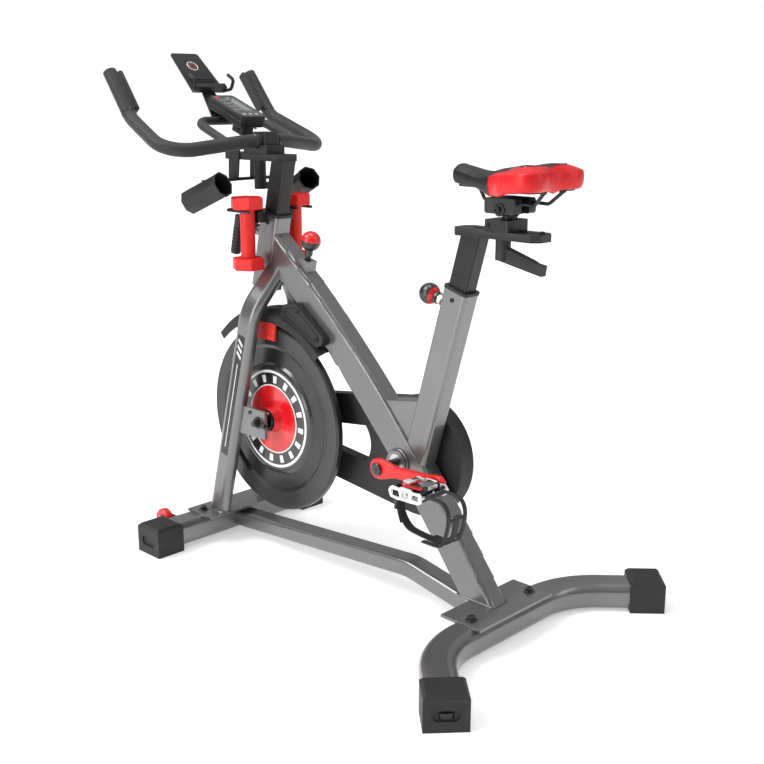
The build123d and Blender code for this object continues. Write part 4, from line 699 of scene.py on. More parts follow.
# stops of (distance behind the nose, value) for the cushion's sections
TOP_SHARE = (RED_START - 0.01, 0.985), (RED_START + 0.05, 0.84), (0.205, 0.66), (0.2475, 0.60)
SPINE_HEIGHT = (0.0, 0.0385), (0.085, 0.0265), (0.150, 0.0330), (0.205, 0.0405)
EDGE_HEIGHT = (0.0, 0.0300), (0.085, 0.0175), (0.165, 0.0290), (0.245, 0.0345)
SWELL = (0.09, 0.0015), (0.17, 0.0070), (0.245, 0.0060)
SKIRT_BOTTOM = ((0.0, 0.0010), (0.06, -0.0040), (0.115, -0.0180),
                (0.150, -0.0160), (0.200, -0.0060), (0.245, -0.0020))
TAIL_DROP, TAIL_HALF, TAIL_START = 0.007, 0.022, 0.19
CHANNEL_DEPTH, CHANNEL_HALF, CHANNEL_FADE = 0.0035, 0.011, ((0.09, 0.0), (0.14, 1.0))
# share of the skirt's depth, and how far the skirt stands out there
SKIRT = ((0.03, 0.0012), (0.10, 0.0022), (0.28, 0.0034), (0.55, 0.0036),
         (0.80, 0.0018), (0.93, -0.0006), (1.0, -0.0042))



def ramp(value, *stops):
    """Smooth steps through (position, height) stops."""
    if value <= stops[0][0]:
        return stops[0][1]
    for (a, low), (b, high) in zip(stops, stops[1:]):
        if value <= b:
            t = (value - a) / (b - a)
            return low + (high - low) * t * t * (3 - 2 * t)
    return stops[-1][1]


def saddle_outline():
    half = smooth_path([(back, y, 0) for back, y in SADDLE_OUTLINE], 9)
    other = [Vector((p.x, -p.y, 0)) for p in reversed(half[1:-1])]
    return half + other


def saddle_rows(outline, nose, base):
    """One row for each edge point: from the middle line out, down the skirt and under it."""
    count = len(outline)
    rows = []
    for k, edge in enumerate(outline):
        back, y = edge.x, edge.y
        spine_back = min(max(back, SADDLE_SPINE[0]), SADDLE_SPINE[1])
        ahead, behind = outline[(k + 1) % count], outline[k - 1]
        outward = (ahead - behind).cross(Z).normalized()
        if outward.dot(edge - Vector((spine_back, 0, 0))) < 0:
            outward = -outward
        border, swell = ramp(back, *TOP_SHARE), ramp(back, *SWELL)
        spine_z, edge_z = ramp(back, *SPINE_HEIGHT), ramp(back, *EDGE_HEIGHT)
        bottom = ramp(back, *SKIRT_BOTTOM)
        bottom -= TAIL_DROP * max(0.0, 1 - abs(y) / TAIL_HALF) * (back > TAIL_START)
        row = []
        shares = [border * f for f in (0.0, 0.2, 0.4, 0.6, 0.8, 0.92, 1.0)]
        shares += [border + (1 - border) * f for f in (0.14, 0.5, 0.86)]
        for share in shares:
            flat = Vector((spine_back, 0, 0)).lerp(edge, share)
            crown = spine_z + (edge_z - spine_z) * share ** 3 + swell * sin(pi * share) ** 1.5
            channel = -CHANNEL_DEPTH * max(0.0, 1 - (abs(flat.y) / CHANNEL_HALF) ** 2)
            channel *= ramp(flat.x, *CHANNEL_FADE)
            row.append(Vector((nose - flat.x, flat.y, base + crown + channel)))
        depth = edge_z - bottom
        for drop, out in SKIRT:
            place = edge + outward * out
            row.append(Vector((nose - place.x, place.y, base + edge_z - depth * drop)))
        for share, lift in ((0.86, 0.003), (0.5, 0.006), (0.0, 0.006)):
            flat = Vector((spine_back, 0, 0)).lerp(edge, share)
            row.append(Vector((nose - flat.x, flat.y, base + max(bottom, -0.002) + lift)))
        rows.append(row)
    return rows


def saddle():
    """Padded cushion with red side panels, their piping and stitches, and the shell below."""
    low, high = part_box("saddle")
    nose, base = high.x - NOSE_GAP, low.z
    outline = saddle_outline()
    rows = saddle_rows(outline, nose, base)
    count, rings = len(rows), len(rows[0])
    points = [p for row in rows for p in row]
    faces, red = [], []
    for k in range(count):
        k2 = (k + 1) % count
        in_panel = min(outline[k].x, outline[k2].x) >= RED_START - 1e-4
        for r in range(rings - 1):
            faces.append((k * rings + r, k2 * rings + r, k2 * rings + r + 1, k * rings + r + 1))
            red.append(in_panel and PANEL_RING <= r < rings - UNDER_RINGS)
    mesh = bpy.data.meshes.new("saddle_cushion")
    mesh.from_pydata([tuple(p) for p in points], [], faces)
    mesh.materials.append(MATERIALS["saddle_cover"])
    mesh.materials.append(MATERIALS["saddle_red"])
    for polygon, is_red in zip(mesh.polygons, red):
        polygon.material_index = int(is_red)
    welded = bmesh.new()
    welded.from_mesh(mesh)
    bmesh.ops.remove_doubles(welded, verts=welded.verts, dist=2e-5)
    bmesh.ops.dissolve_degenerate(welded, edges=welded.edges, dist=1e-6)
    bmesh.ops.recalc_face_normals(welded, faces=welded.faces)
    welded.to_mesh(mesh)
    welded.free()
    cushion = bpy.data.objects.new("saddle_cushion", mesh)
    finish_piece(cushion, "saddle", "saddle_cover", (), ("saddle",), 75)
    subdivision = cushion.modifiers.new("smooth", "SUBSURF")
    subdivision.levels = subdivision.render_levels = 1

    first = next(k for k, p in enumerate(outline) if p.x >= RED_START)
    last = count - first
    skirt = range(PANEL_RING, rings - UNDER_RINGS)
    seam = [rows[first][r] for r in reversed(skirt)]
    seam += [rows[k % count][PANEL_RING] for k in range(first + 1, last)]
    seam += [rows[last % count][r] for r in skirt]
    piping = rod("saddle_piping", seam, 0.0013, smooth=False, sides=8)
    finish_piece(piping, "saddle", "saddle_cover", "gloss_black", angle=60)

    stitches = []
    for i in range(8, len(seam) - 9):
        inward = Vector((seam[i].x * 0.03 + (nose - 0.17) * 0.97, 0, seam[i].z)) - seam[i]
        heading = (seam[i + 1] - seam[i - 1]).normalized()
        place = seam[i] + inward.normalized() * 0.0042 + Z * 0.0008
        stitches.append(rod("stitch", [place - heading * 0.0011, place + heading * 0.0011], 0.0003,
                            smooth=False, sides=4))
    group("saddle_stitches", stitches, "saddle", "saddle_cover", "print_dark", angle=60)

    shell_outline = [(p.x * 0.93 + 0.010, p.y * 0.86) for p in outline]
    shell = plate("saddle_shell", [[(-u, v) for u, v in shell_outline]], (nose, 0, base - 0.004), Z, X,
                  0.007, 0.0012)
    finish_piece(shell, "saddle", "black_steel", "black_plastic")


def saddle_clamp():
    """Bolts and serrated rings on the clamp, and small caps where the rails enter the shell."""
    tilt = Vector(joint("saddle_tilt")["pos_m"])
    low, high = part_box("saddle_rails")
    pieces = []
    for sign in (-1, 1):
        face = sign * 0.0322
        rim = Vector((tilt.x, face, tilt.z))
        pieces.append(lathe("clamp_ring", [(0.006, 0), (0.0125, 0), (0.0125, 0.0018), (0.0105, 0.0030),
                                           (0.006, 0.0030)], rim, Y * sign, 40))
        pieces.append(hex_bolt(rim + Y * sign * 0.0028, Y * sign, 0.013, 0.0065, 0.0088))
    group("saddle_clamp_bolts", pieces, "saddle", "black_steel", "black_steel")
    sockets = []
    for x, y in ((high.x - 0.004, 0.020), (low.x + 0.004, 0.030)):
        for sign in (-1, 1):
            sockets.append(lathe("rail_socket", [(0, 0), (0.0065, 0), (0.0075, 0.006), (0, 0.006)],
                                 (x, sign * y, high.z - 0.004), Z, 24))
    group("saddle_rail_sockets", sockets, "saddle", "black_steel", "black_plastic")


# ---- cranks and pedals -----------------------------------------------------------------------------
def crank_arms():
    """Forged arms: a broad boss at the spindle, a waist, and a round end at the pedal."""
    arms = []
    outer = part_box("crank_arms")[1].y
    thick = 0.014
    for side, pedal in PEDALS.items():
        sign = SIGN[side]
        line = Vector((pedal.x - CRANK.x, pedal.z - CRANK.z))
        length = line.length
        boss, eye, waist = 0.0225, 0.0148, 0.0108
        upper = []
        for i in range(25):
            share = i / 24
            half = waist + (boss - waist) * (1 - ramp(share, (0.0, 0.0), (0.34, 1.0)))
            half += (eye - waist) * ramp(share, (0.80, 0.0), (0.97, 1.0)) + 0.0015 * sin(pi * share)
            upper.append((length * share, half))
        back = [(boss * cos(a), boss * sin(a)) for a in (pi / 2 + pi * i / 16 for i in range(1, 16))]
        front = [(length + eye * cos(a), eye * sin(a))
                 for a in (-pi / 2 + pi * i / 12 for i in range(1, 12))]
        outline = upper + [p for p in reversed(front)] + [(u, -v) for u,
                                                          v in reversed(upper)] + list(reversed(back))
        holes = [ring_points(0.0092, 32), ring_points(0.0072, 32, (length, 0))]
        base = Vector((CRANK.x, sign * (outer - thick), CRANK.z))
        u_axis = Vector((line.x, 0, line.y)).normalized()
        arms.append(plate("arm", [outline] + holes, base, Y * sign, u_axis, thick, 0.0032, 4))
    group("crank_arm_forgings", arms, "crank", "red_paint", "red_paint", ("crank_arms",))
    caps = []
    for sign in (-1, 1):
        spot = (CRANK.x, sign * (outer + 0.0045), CRANK.z)
        caps.append(lathe("cap", [(0, 0.0036), (0.0040, 0.0036), (0.0044, 0.0016), (0.0090, 0.0012),
                                  (0.0128, 0.0006), (0.0140, -0.0006), (0.0142, -0.0036), (0, -0.0036)],
                          spot, Y * sign, 44))
    group("crank_caps", caps, "crank", "black_plastic", "gloss_black")


def side_plate(name, loops, centre, sign, y, depth, bevel, bevel_steps=2):
    """Upright plate in the side view, from y outward on one side; loops are x and z from the centre."""
    start = y + depth if sign > 0 else -y
    return plate(name, loops, (centre.x, start, centre.z), -Y, X, depth, bevel, bevel_steps)


PEDAL_IN, PEDAL_OUT = 0.106, 0.186     # y of the pedal's two ends
PLATE_OUTLINE = [(-0.0430, -0.0075), (-0.0350, -0.0120), (-0.0140, -0.0135), (0.0120, -0.0135),
                 (0.0200, -0.0150), (0.0400, -0.0125), (0.0430, -0.0060), (0.0430, 0.0070),
                 (0.0360, 0.0120), (0.0180, 0.0105), (0.0120, 0.0140), (-0.0120, 0.0140),
                 (-0.0190, 0.0100), (-0.0370, 0.0120), (-0.0430, 0.0070)]


def pedal(side):
    sign, centre = SIGN[side], PEDALS[side]
    out = Y * sign

    def at(x, y, z):
        return Vector((centre.x + x, sign * y, centre.z + z))

    outline = rounded(PLATE_OUTLINE, 0.0030, 3)
    slot = rounded([(0.014, -0.0085), (0.036, -0.0085), (0.036, 0.0045), (0.018, 0.0045)], 0.0025, 3)
    notch = rounded([(-0.037, -0.0055), (-0.016, -0.0055), (-0.018, 0.0050), (-0.036, 0.0050)], 0.0022, 3)
    frame_pieces = []
    for y in (PEDAL_IN, PEDAL_OUT - 0.0045):
        frame_pieces.append(side_plate("end_plate", [outline, slot, notch, ring_points(0.0075, 28)],
                                       centre, sign, y, 0.0045, 0.0009, 3))
    for x in (-0.0395, 0.0395):
        frame_pieces.append(rod("tie", [at(x, PEDAL_IN + 0.002, 0.001), at(x, PEDAL_OUT - 0.002, 0.001)],
                                0.0032, smooth=False))
        for y, way in ((PEDAL_IN - 0.0002, -1), (PEDAL_OUT - 0.0006, 1)):
            frame_pieces.append(socket_screw(at(x, y, 0.001), out * way, 0.0040, 0.0022))
    group(f"pedal_frame_{side}", frame_pieces, f"pedal_{side}", "pedal_alloy", "pedal_alloy",
          (f"pedal_{side}",))

    barrel = [(0.0063, PEDAL_IN + 0.001), (0.0125, PEDAL_IN + 0.001), (0.0135, PEDAL_IN + 0.006),
              (0.0098, PEDAL_IN + 0.018), (0.0090, PEDAL_OUT - 0.030), (0.0115, PEDAL_OUT - 0.012),
              (0.0115, PEDAL_OUT - 0.006), (0.0063, PEDAL_OUT - 0.006)]
    cap = [(0, 0), (0.0086, 0), (0.0086, 0.0072), (0.0074, 0.0086), (0.0056, 0.0086), (0.0050, 0.0070),
           (0, 0.0070)]
    turned = [lathe("barrel", barrel, (centre.x, 0, centre.z), out, 40),
              painted(lathe("cap", cap, at(0, PEDAL_OUT - 0.0055, 0), out, 36), "bare_steel")]
    painted(turned[0], "black_steel")
    group(f"pedal_barrel_{side}", turned, f"pedal_{side}", "black_steel", ())

    cage = []
    for x, way in ((-0.0385, -1), (0.0385, 1)):
        teeth = [(PEDAL_IN + 0.004, -0.0085), (PEDAL_OUT - 0.005, -0.0085)]
        for i in range(17):
            y = PEDAL_OUT - 0.005 - i * (PEDAL_OUT - PEDAL_IN - 0.009) / 16
            over_latch = x < 0 and 0.126 < y < 0.166
            teeth.append((y, -0.0015 if over_latch else 0.0115 if i % 2 else 0.0085))
        cage.append(plate("toothed", [teeth], (centre.x + x - 0.0012 - way * 0.0023, 0, centre.z), X, Y,
                          0.0024, 0.0004))
        if sign < 0:
            cage[-1].data.transform(Matrix.Scale(-1, 4, Y))
            cage[-1].data.flip_normals()
    for y in (0.1275, 0.1650):
        ear = rounded([(-0.0405, -0.006), (-0.0270, -0.006), (-0.0280, 0.0195), (-0.0335, 0.0215),
                       (-0.0390, 0.0195)], 0.002, 3)
        cage.append(side_plate("ear", [ear], centre, sign, y - 0.0022, 0.0040, 0.0005))
    cage.append(rod("latch_pin", [at(-0.034, 0.126, 0.016), at(-0.034, 0.167, 0.016)], 0.0024,
                    smooth=False))
    group(f"pedal_cage_{side}", cage, f"pedal_{side}", "black_steel", "black_steel")

    deck = []
    wing = rounded([(-0.024, 0.127), (0.020, 0.120), (0.034, 0.131), (0.034, 0.161), (0.020, 0.172),
                    (-0.024, 0.165)], 0.004, 4)
    window = rounded([(-0.010, 0.137), (0.014, 0.134), (0.014, 0.158), (-0.010, 0.155)], 0.003, 3)
    deck.append(painted(plate("deck", [wing, window], (centre.x, 0, centre.z + 0.0085), Z, X, 0.0030,
                              0.0007), "red_anodised"))
    hook = rounded([(0.016, 0.134), (0.035, 0.138), (0.035, 0.154), (0.016, 0.158)], 0.003, 4)
    deck.append(painted(plate("front_hook", [hook], (centre.x, 0, centre.z + 0.0112), Z, X, 0.0035,
                              0.0009), "pedal_alloy"))
    for y in (0.129, 0.163):
        screw = socket_screw((centre.x + 0.022, y, centre.z + 0.0113), Z, 0.0030, 0.0024)
        deck.append(painted(screw, "bare_steel"))
    core = rounded([(-0.028, 0.134), (0.028, 0.134), (0.028, 0.158), (-0.028, 0.158)], 0.004, 3)
    deck.append(painted(plate("core", [core], (centre.x, 0, centre.z - 0.0100), Z, X, 0.0185, 0.0012),
                        "black_plastic"))
    if sign < 0:
        for piece in deck:
            piece.data.transform(Matrix.Scale(-1, 4, Y))
            piece.data.flip_normals()
    group(f"pedal_deck_{side}", deck, f"pedal_{side}", "red_plastic", ())


def toe_cage(side):
    """Moulded basket at the toe end, a strap under it and a buckle at the front."""
    sign, centre = SIGN[side], PEDALS[side]

    def at(x, y, z):
        return Vector((centre.x + x, sign * y, centre.z + z))

    toe = [(-0.0425, 0.0035), (-0.070, 0.0030), (-0.092, -0.0030), (-0.1015, -0.026), (-0.0960, -0.060),
           (-0.0840, -0.0870), (-0.062, -0.0945), (-0.030, -0.0945)]
    pieces = []
    for y in (0.1215, 0.1705):
        pieces.append(strap("toe_band", [at(x, y + (0.146 - y) * 0.25 * (i > 5), z) for i,
                                         (x, z) in enumerate(toe)], Y, 0.0105, 0.0042))
    for x, z in ((-0.046, 0.0035), (-0.1005, -0.034), (-0.0905, -0.0750)):
        pieces.append(rod("cross_bar", [at(x, 0.119, z), at(x, 0.173, z)], 0.0030, smooth=False, sides=8))
    pieces.append(strap("toe_spine", [at(x, 0.146, z) for x, z in toe[3:]], Y, 0.0160, 0.0036))
    group(f"toe_basket_{side}", pieces, f"pedal_{side}", "black_plastic", "black_plastic",
          (f"toe_cage_{side}",))
    route = [(-0.068, -0.0900), (-0.045, -0.0925), (-0.012, -0.0905), (0.018, -0.0860), (0.034, -0.0740),
             (0.0450, -0.0560), (0.0475, -0.0350), (0.0465, -0.0150), (0.0455, 0.0020)]
    tail = (0.0500, -0.020), (0.0515, -0.045), (0.0440, -0.070), (0.0400, -0.078)
    band = [strap("band", [at(x, 0.146, z) for x, z in route], Y, 0.0210, 0.0022),
            strap("band_end", [at(x, 0.146, z) for x, z in tail], Y, 0.0180, 0.0018)]
    group(f"toe_strap_{side}", band, f"pedal_{side}", "black_plastic", "belt_rubber")
    frame_outline = block(0.030, 0.028, 0.003)
    gaps = [block(0.020, 0.0050, 0.001, (0, -0.0075)), block(0.020, 0.0050, 0.001, (0, 0.0075))]
    buckle = plate("buckle", [frame_outline] + gaps, at(0.0482, 0.146, -0.036), (1, 0, 0.10), Y, 0.0042,
                   0.0009)
    roller = rod("roller", [at(0.0525, 0.134, -0.036), at(0.0525, 0.158, -0.036)], 0.0026, smooth=False,
                 sides=8)
    group(f"toe_buckle_{side}", [painted(buckle, "gloss_black"), painted(roller, "bare_steel")],
          f"pedal_{side}", "black_plastic", ())


# ---- handlebar, console and rack -------------------------------------------------------------------
BAR_END = {side: Vector((0.6073, sign * 0.208, 1.147)) for side, sign in SIGN.items()}
BAR_BEND = {side: Vector((0.526, sign * 0.210, 1.043)) for side, sign in SIGN.items()}
CONSOLE_UP = -Vector(joint("button_middle_press")["axis"])
CONSOLE_AHEAD = Vector((CONSOLE_UP.z, 0, -CONSOLE_UP.x))
CONSOLE_FACE = Vector((0.397, 0, 1.069)) + CONSOLE_UP * 0.0001
KEY_PLACES = [(-0.050, y) for y in (-0.018, 0.0, 0.018)]
WINDOW_PLACE = (0.016, -0.012)


def bar_details():
    """End plugs, the ridges between the foam sleeves, and the clamp's bolts."""
    plug = [(0, 0.0030), (0.0090, 0.0026), (0.0140, 0.0012), (0.0158, -0.0010), (0.0158, -0.0022),
            (0.0128, -0.0024), (0.0128, -0.0120), (0, -0.0120)]
    ridge = [(0.0160, 0), (0.0169, 0.0006), (0.0169, 0.0030), (0.0160, 0.0036)]
    sleeve_end = [(0.0160, 0), (0.0172, 0.0008), (0.0172, 0.0050), (0.0160, 0.0058)]
    plugs, ridges = [], []
    for side, end in BAR_END.items():
        along = (end - BAR_BEND[side]).normalized()
        plugs.append(lathe("plug", plug, end, along, 48))
        ridges.append(lathe("ridge", ridge, end - along * 0.118, along, 48))
    clamp_bolt_x = middle("handlebar_carriage").x + 0.012
    for sign in (-1, 1):
        ridges.append(lathe("ridge", sleeve_end, (0.299, sign * 0.030, 0.992), Y * sign, 48))
        ridges.append(hex_bolt((clamp_bolt_x, sign * 0.0198, 0.977), Y * sign, 0.008, 0.003, 0.0062))
    group("bar_plugs", plugs, "handlebar", "foam", "black_plastic")
    group("bar_ridges", ridges, "handlebar", "foam", "gloss_black")


def grip_pads():
    """Flat moulded pads on the inner side of the grips, with a soft rim and a groove round them."""
    pads = []
    for side, end in BAR_END.items():
        along = (end - BAR_BEND[side]).normalized()
        to_middle = -Y * SIGN[side]
        inward = (to_middle - along * to_middle.dot(along)).normalized()
        centre = end - along * 0.0565
        for length, width, depth, start, soft in ((0.108, 0.0190, 0.0080, 0.0120, 0.0036),
                                                  (0.112, 0.0215, 0.0120, 0.0180, 0.0045)):
            pads.append(plate("pad", [block(length, width, 0.006)], centre + inward * start, inward, along,
                              depth, soft, 4))
    covers = group("grip_pad_covers", pads, "handlebar", "foam", "foam", ("grip_pads",))


def on_console(name, loops, u, v, lift, depth, bevel):
    """Plate on the console's face, at u forward and v to the left of its middle."""
    place = CONSOLE_FACE + CONSOLE_AHEAD * u + Y * v + CONSOLE_UP * lift
    return plate(name, loops, place, CONSOLE_UP, CONSOLE_AHEAD, depth, bevel)


def console_parts():
    """Bezel, display, lamp and plain marks on the face, the seam round the housing, screws below."""
    body, slot = "handlebar", "console_plastic"
    keys = [ring_points(0.0054, 24, place) for place in KEY_PLACES]
    face = [block(0.130, 0.066, 0.012), block(0.088, 0.023, 0.003, WINDOW_PLACE)] + keys
    finish_piece(on_console("bezel", face, 0, 0, 0, 0.0012, 0.0004), body, slot, "face")
    glass = on_console("console_screen", [block(0.090, 0.025, 0.003)], *WINDOW_PLACE, -0.0002, 0.0009,
                       0.0002)
    finish_piece(glass, body, slot, "screen")
    rim = [block(0.134, 0.070, 0.013), block(0.1305, 0.0665, 0.012)]
    finish_piece(on_console("console_rim", rim, 0, 0, 0, 0.0018, 0.0005), body, slot, "gloss_black")
    dash = [block(0.0060, 0.0016, 0.0006)]
    marks = [on_console("mark", dash, -0.022 + row * 0.020, 0.008 + column * 0.0075, 0.0011, 0.0004, 0.0001)
             for row in range(4) for column in range(3)]
    group("console_marks", marks, body, slot, "print_light")
    lamp = [(0, 0.0012), (0.0040, 0.0010), (0.0050, 0), (0.0050, -0.0004), (0, -0.0004)]
    lamp_place = CONSOLE_FACE + CONSOLE_AHEAD * 0.054 + Y * 0.020 + CONSOLE_UP * 0.0012
    finish_piece(lathe("console_lamp", lamp, lamp_place, CONSOLE_UP, 32), body, slot, "red_plastic")
    seam = [block(0.1412, 0.0762, 0.0145), block(0.138, 0.073, 0.013)]
    finish_piece(on_console("console_seam", seam, 0, 0, -0.0125, 0.0012, 0.0004), body, slot, "gloss_black")
    underside = middle("console") - CONSOLE_UP * 0.0128
    screws = [socket_screw(underside + CONSOLE_AHEAD * u + Y * v, -CONSOLE_UP, 0.0035, 0.0018)
              for u in (-0.045, 0.045) for v in (-0.026, 0.026)]
    group("console_screws", screws, body, slot, "black_steel")


RACK_LOW, RACK_HIGH = Vector((0.502, 0, 1.103)), Vector((0.600, 0, 1.193))
RACK_STEM_BACK = Vector((-0.729, 0, 0.684))


def rack_parts():
    """Plain ring emblem, rubber strips and screws on the media rack."""
    body, slot = "handlebar", "black_plastic"
    up = (RACK_HIGH - RACK_LOW).normalized()
    face = Vector((-up.z, 0, up.x))
    centre = RACK_LOW + up * 0.088
    ring = [(0.0128, 0), (0.0150, 0), (0.0150, 0.0009), (0.0144, 0.0014), (0.0134, 0.0014),
            (0.0128, 0.0009)]
    finish_piece(lathe("rack_ring", ring, centre, face, 56), body, slot, "pedal_alloy")
    disc = [(0, 0.0008), (0.0125, 0.0006), (0.0129, 0), (0, 0)]
    finish_piece(lathe("rack_disc", disc, centre, face, 56), body, slot, "gloss_black")
    inner = [ring_points(0.0090, 40), ring_points(0.0075, 40)]
    mark = plate("rack_mark", inner, centre + face * 0.0007, face, Y, 0.0005, 0.0001)
    finish_piece(mark, body, slot, "red_plastic")
    strips = [plate("strip", [block(0.070, 0.0022, 0.001)], RACK_LOW + up * (0.024 + 0.006 * i)
                    + face * 0.0001, face, Y, 0.0012, 0.0004) for i in range(4)]
    group("rack_strips", strips, body, slot, "belt_rubber")
    screws = [socket_screw((0.4435, y, 1.040), RACK_STEM_BACK, 0.0042, 0.0026) for y in (-0.022, 0.022)]
    group("rack_screws", screws, body, slot, "black_steel")


# ---- flywheel, guard, fender and fork --------------------------------------------------------------
RIM_FACES = ((0.030, Y), (0.010, -Y))     # y of the faces that the beads stand on, and their direction
RIM_BEADS = (0.2205, 0.1870)
PLATE_FACE = 0.0770                       # outer faces of the axle plates


def bead(radius, half, flat, rise):
    """Profile of a low ring on a face: half its width, half its flat top, and how far it stands out."""
    return [(radius - half, -rise[0]), (radius - flat, rise[1]), (radius + flat, rise[1]),
            (radius + half, -rise[0])]


def flywheel_parts():
    """Beads on the rim, the hub cap's lip, and the axle's nuts with their neighbours."""
    beads = [lathe("bead", bead(radius, 0.0012, 0.0008, (0.0004, 0.0006)), HUB + Y * y, axis, 128)
             for y, axis in RIM_FACES for radius in RIM_BEADS]
    group("flywheel_beads", beads, "flywheel", "flywheel_iron", "flywheel_iron")
    lip = [(0.0142, 0.0), (0.0200, 0.0), (0.0215, -0.0012), (0.0215, -0.0020), (0.0142, -0.0020)]
    cover_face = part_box("flywheel_cover")[1].y
    finish_piece(lathe("hub_cap_lip", lip, (HUB.x, cover_face + 0.0004, HUB.z), Y, 56), "flywheel", "badge",
                 "gloss_black")
    washer = [(0.0063, 0), (0.0150, 0), (0.0150, 0.0016), (0.0140, 0.0022), (0.0063, 0.0022)]
    acorn = [(0, 0.0205), (0.0030, 0.0200), (0.0058, 0.0178), (0.0072, 0.0150), (0.0074, 0.0090),
             (0, 0.0090)]
    nuts = []
    for sign in (-1, 1):
        face = Vector((HUB.x, sign * (PLATE_FACE + 0.0002), HUB.z))
        nuts.append(lathe("nut_washer", washer, face, Y * sign, 44))
        nuts.append(lathe("acorn", acorn, face, Y * sign, 36))
        nuts.append(hex_bolt((HUB.x - 0.0235, sign * PLATE_FACE, HUB.z - 0.004), Y * sign, 0.011, 0.0052,
                             0.0092))
        nuts.append(socket_screw((HUB.x + 0.030, sign * PLATE_FACE, HUB.z + 0.020), Y * sign, 0.0045,
                                 0.003))
    group("axle_nuts", nuts, "frame", "black_steel", "gloss_black")


def guard_parts():
    """Raised rings, spindle collar and screws on the belt guard."""
    drum = Vector((CRANK.x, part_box("belt_guard_outer")[0].y, CRANK.z))
    rings = [lathe("ring", bead(radius, size, size * 0.6, (0, 0.0012)), drum + Y * 0.0002, -Y, 96)
             for radius, size in ((0.112, 0.0022), (0.060, 0.0018))]
    collar = [(0.0222, -0.001), (0.0320, -0.001), (0.0320, 0.0016), (0.0290, 0.0028), (0.0222, 0.0028)]
    rings.append(lathe("collar", collar, drum, -Y, 64))
    group("guard_rings", rings, "frame", "black_plastic", "black_plastic")
    screws = []
    for angle in (100, 160, 215, 275):
        spot = drum + Vector((0.094 * cos(radians(angle)), 0.0004, 0.094 * sin(radians(angle))))
        screws.append(socket_screw(spot, -Y, 0.0046, 0.0026))
    for x, z in ((0.030, 0.383), (0.160, 0.262), (0.292, 0.282), (0.180, 0.372)):
        screws.append(socket_screw((x, -0.0538, z), -Y, 0.0046, 0.0026))
    group("guard_screws", screws, "frame", "black_plastic", "black_steel")


FENDER_FACE = 0.045                       # outer faces of the fender's side plates
FENDER_PANEL = [(0.150, 0.625), (0.080, 0.571), (0.078, 0.556), (0.093, 0.551), (0.196, 0.606),
                (0.189, 0.622)]
FENDER_MIDDLE = (0.137, 0.590)
FENDER_SCREWS = ((0.146, 0.617), (0.083, 0.563), (0.192, 0.612))


def fender_parts():
    """Screws and a raised border on the fender's side plates."""
    screws, panels = [], []
    outline = rounded(FENDER_PANEL, 0.005, 4)
    middle_x, middle_z = FENDER_MIDDLE
    inside = [(middle_x + (x - middle_x) * 0.93, middle_z + (z - middle_z) * 0.86) for x, z in outline]
    for sign in (-1, 1):
        for x, z in FENDER_SCREWS:
            screws.append(socket_screw((x, sign * FENDER_FACE, z), Y * sign, 0.0050, 0.0028))
        border = plate("panel", [outline, inside], (0, sign * (FENDER_FACE - 0.0002), 0), Y * sign, X,
                       0.0012, 0.0004)
        if sign > 0:
            border.data.transform(Matrix.Scale(-1, 4, Z))
            border.data.flip_normals()
        panels.append(border)
    group("fender_panels", panels, "frame", "black_plastic", "black_plastic")
    group("fender_screws", screws, "frame", "black_plastic", "black_steel")


LEG_FOOT, LEG_LEAN, LEG_FACE = Vector((0.426, 0, 0.065)), radians(15.3), 0.090


def fork_parts():
    """Dark trim panels with a plain slanted pattern on the legs' outer faces, and weld beads."""
    up = Vector((-sin(LEG_LEAN), 0, cos(LEG_LEAN)))
    line = [(-0.140, -0.0012), (0.086, -0.0012), (0.086, 0.0012), (-0.140, 0.0012)]
    panels, stripes, beads = [], [], []
    for sign in (-1, 1):
        outward = Y * sign
        base = LEG_FOOT + up * 0.338 + outward * (LEG_FACE - 0.0001)
        panels.append(plate("panel", [block(0.322, 0.0245, 0.002)], base, outward, up, 0.0005, 0.0001))
        for i in range(3):
            start = 0.100 + 0.016 * i
            bar = [(start, -0.0085), (start + 0.008, -0.0085), (start + 0.020, 0.0085),
                   (start + 0.012, 0.0085)]
            stripes.append(plate("stripe", [bar], base + outward * 0.0004, outward, up, 0.0003, 0.00005))
        stripes.append(plate("line", [line], base + outward * 0.0004, outward, up, 0.0003, 0.00005))
        beads.append(weld(slot_outline(0.0605, 0.033), (0.4236, sign * 0.0735, 0.0745), Z))
        beads.append(weld(ring_points(0.0285, 40), (CRANK.x, sign * 0.0275, CRANK.z), Y))
    group("fork_panels", panels, "frame", "frame_paint", "print_dark")
    group("fork_stripes", stripes, "frame", "frame_paint", "print_light")
    beads.append(weld(block(0.100, 0.0500, 0.008), (-0.3745, 0, 0.0685), Z))
    group("weld_beads", beads, "frame", "frame_paint", "frame_paint", angle=70)


def slot_outline(length, width):
    """Outline with two straight sides and round ends."""
    radius = width / 2
    reach = length / 2 - radius
    return (ring_points(radius, 12, (reach, 0), -pi / 2, pi)
            + ring_points(radius, 12, (-reach, 0), pi / 2, pi))


def weld(outline, centre, normal, radius=0.0022, ripple=0.28):
    """Rippled weld bead along an outline."""
    turn = basis(normal, X if abs(Vector(normal).normalized().x) < 0.9 else Z)
    line = [Vector(centre) + turn @ Vector((u, v, 0)) for u, v in outline]
    dense = []
    for a, b in zip(line, line[1:] + line[:1]):
        steps = max(1, int((b - a).length / radius))
        dense += [a.lerp(b, i / steps) for i in range(steps)]
    curve = bpy.data.curves.new("weld", "CURVE")
    curve.dimensions = "3D"
    curve.bevel_depth = radius
    curve.bevel_resolution = 2
    spline = curve.splines.new("POLY")
    spline.points.add(len(dense) - 1)
    for i, (point, place) in enumerate(zip(spline.points, dense)):
        point.co = (*place, 1)
        point.radius = 1.0 + ripple * (i % 2)
    spline.use_cyclic_u = True
    return curve_to_object("weld", curve)


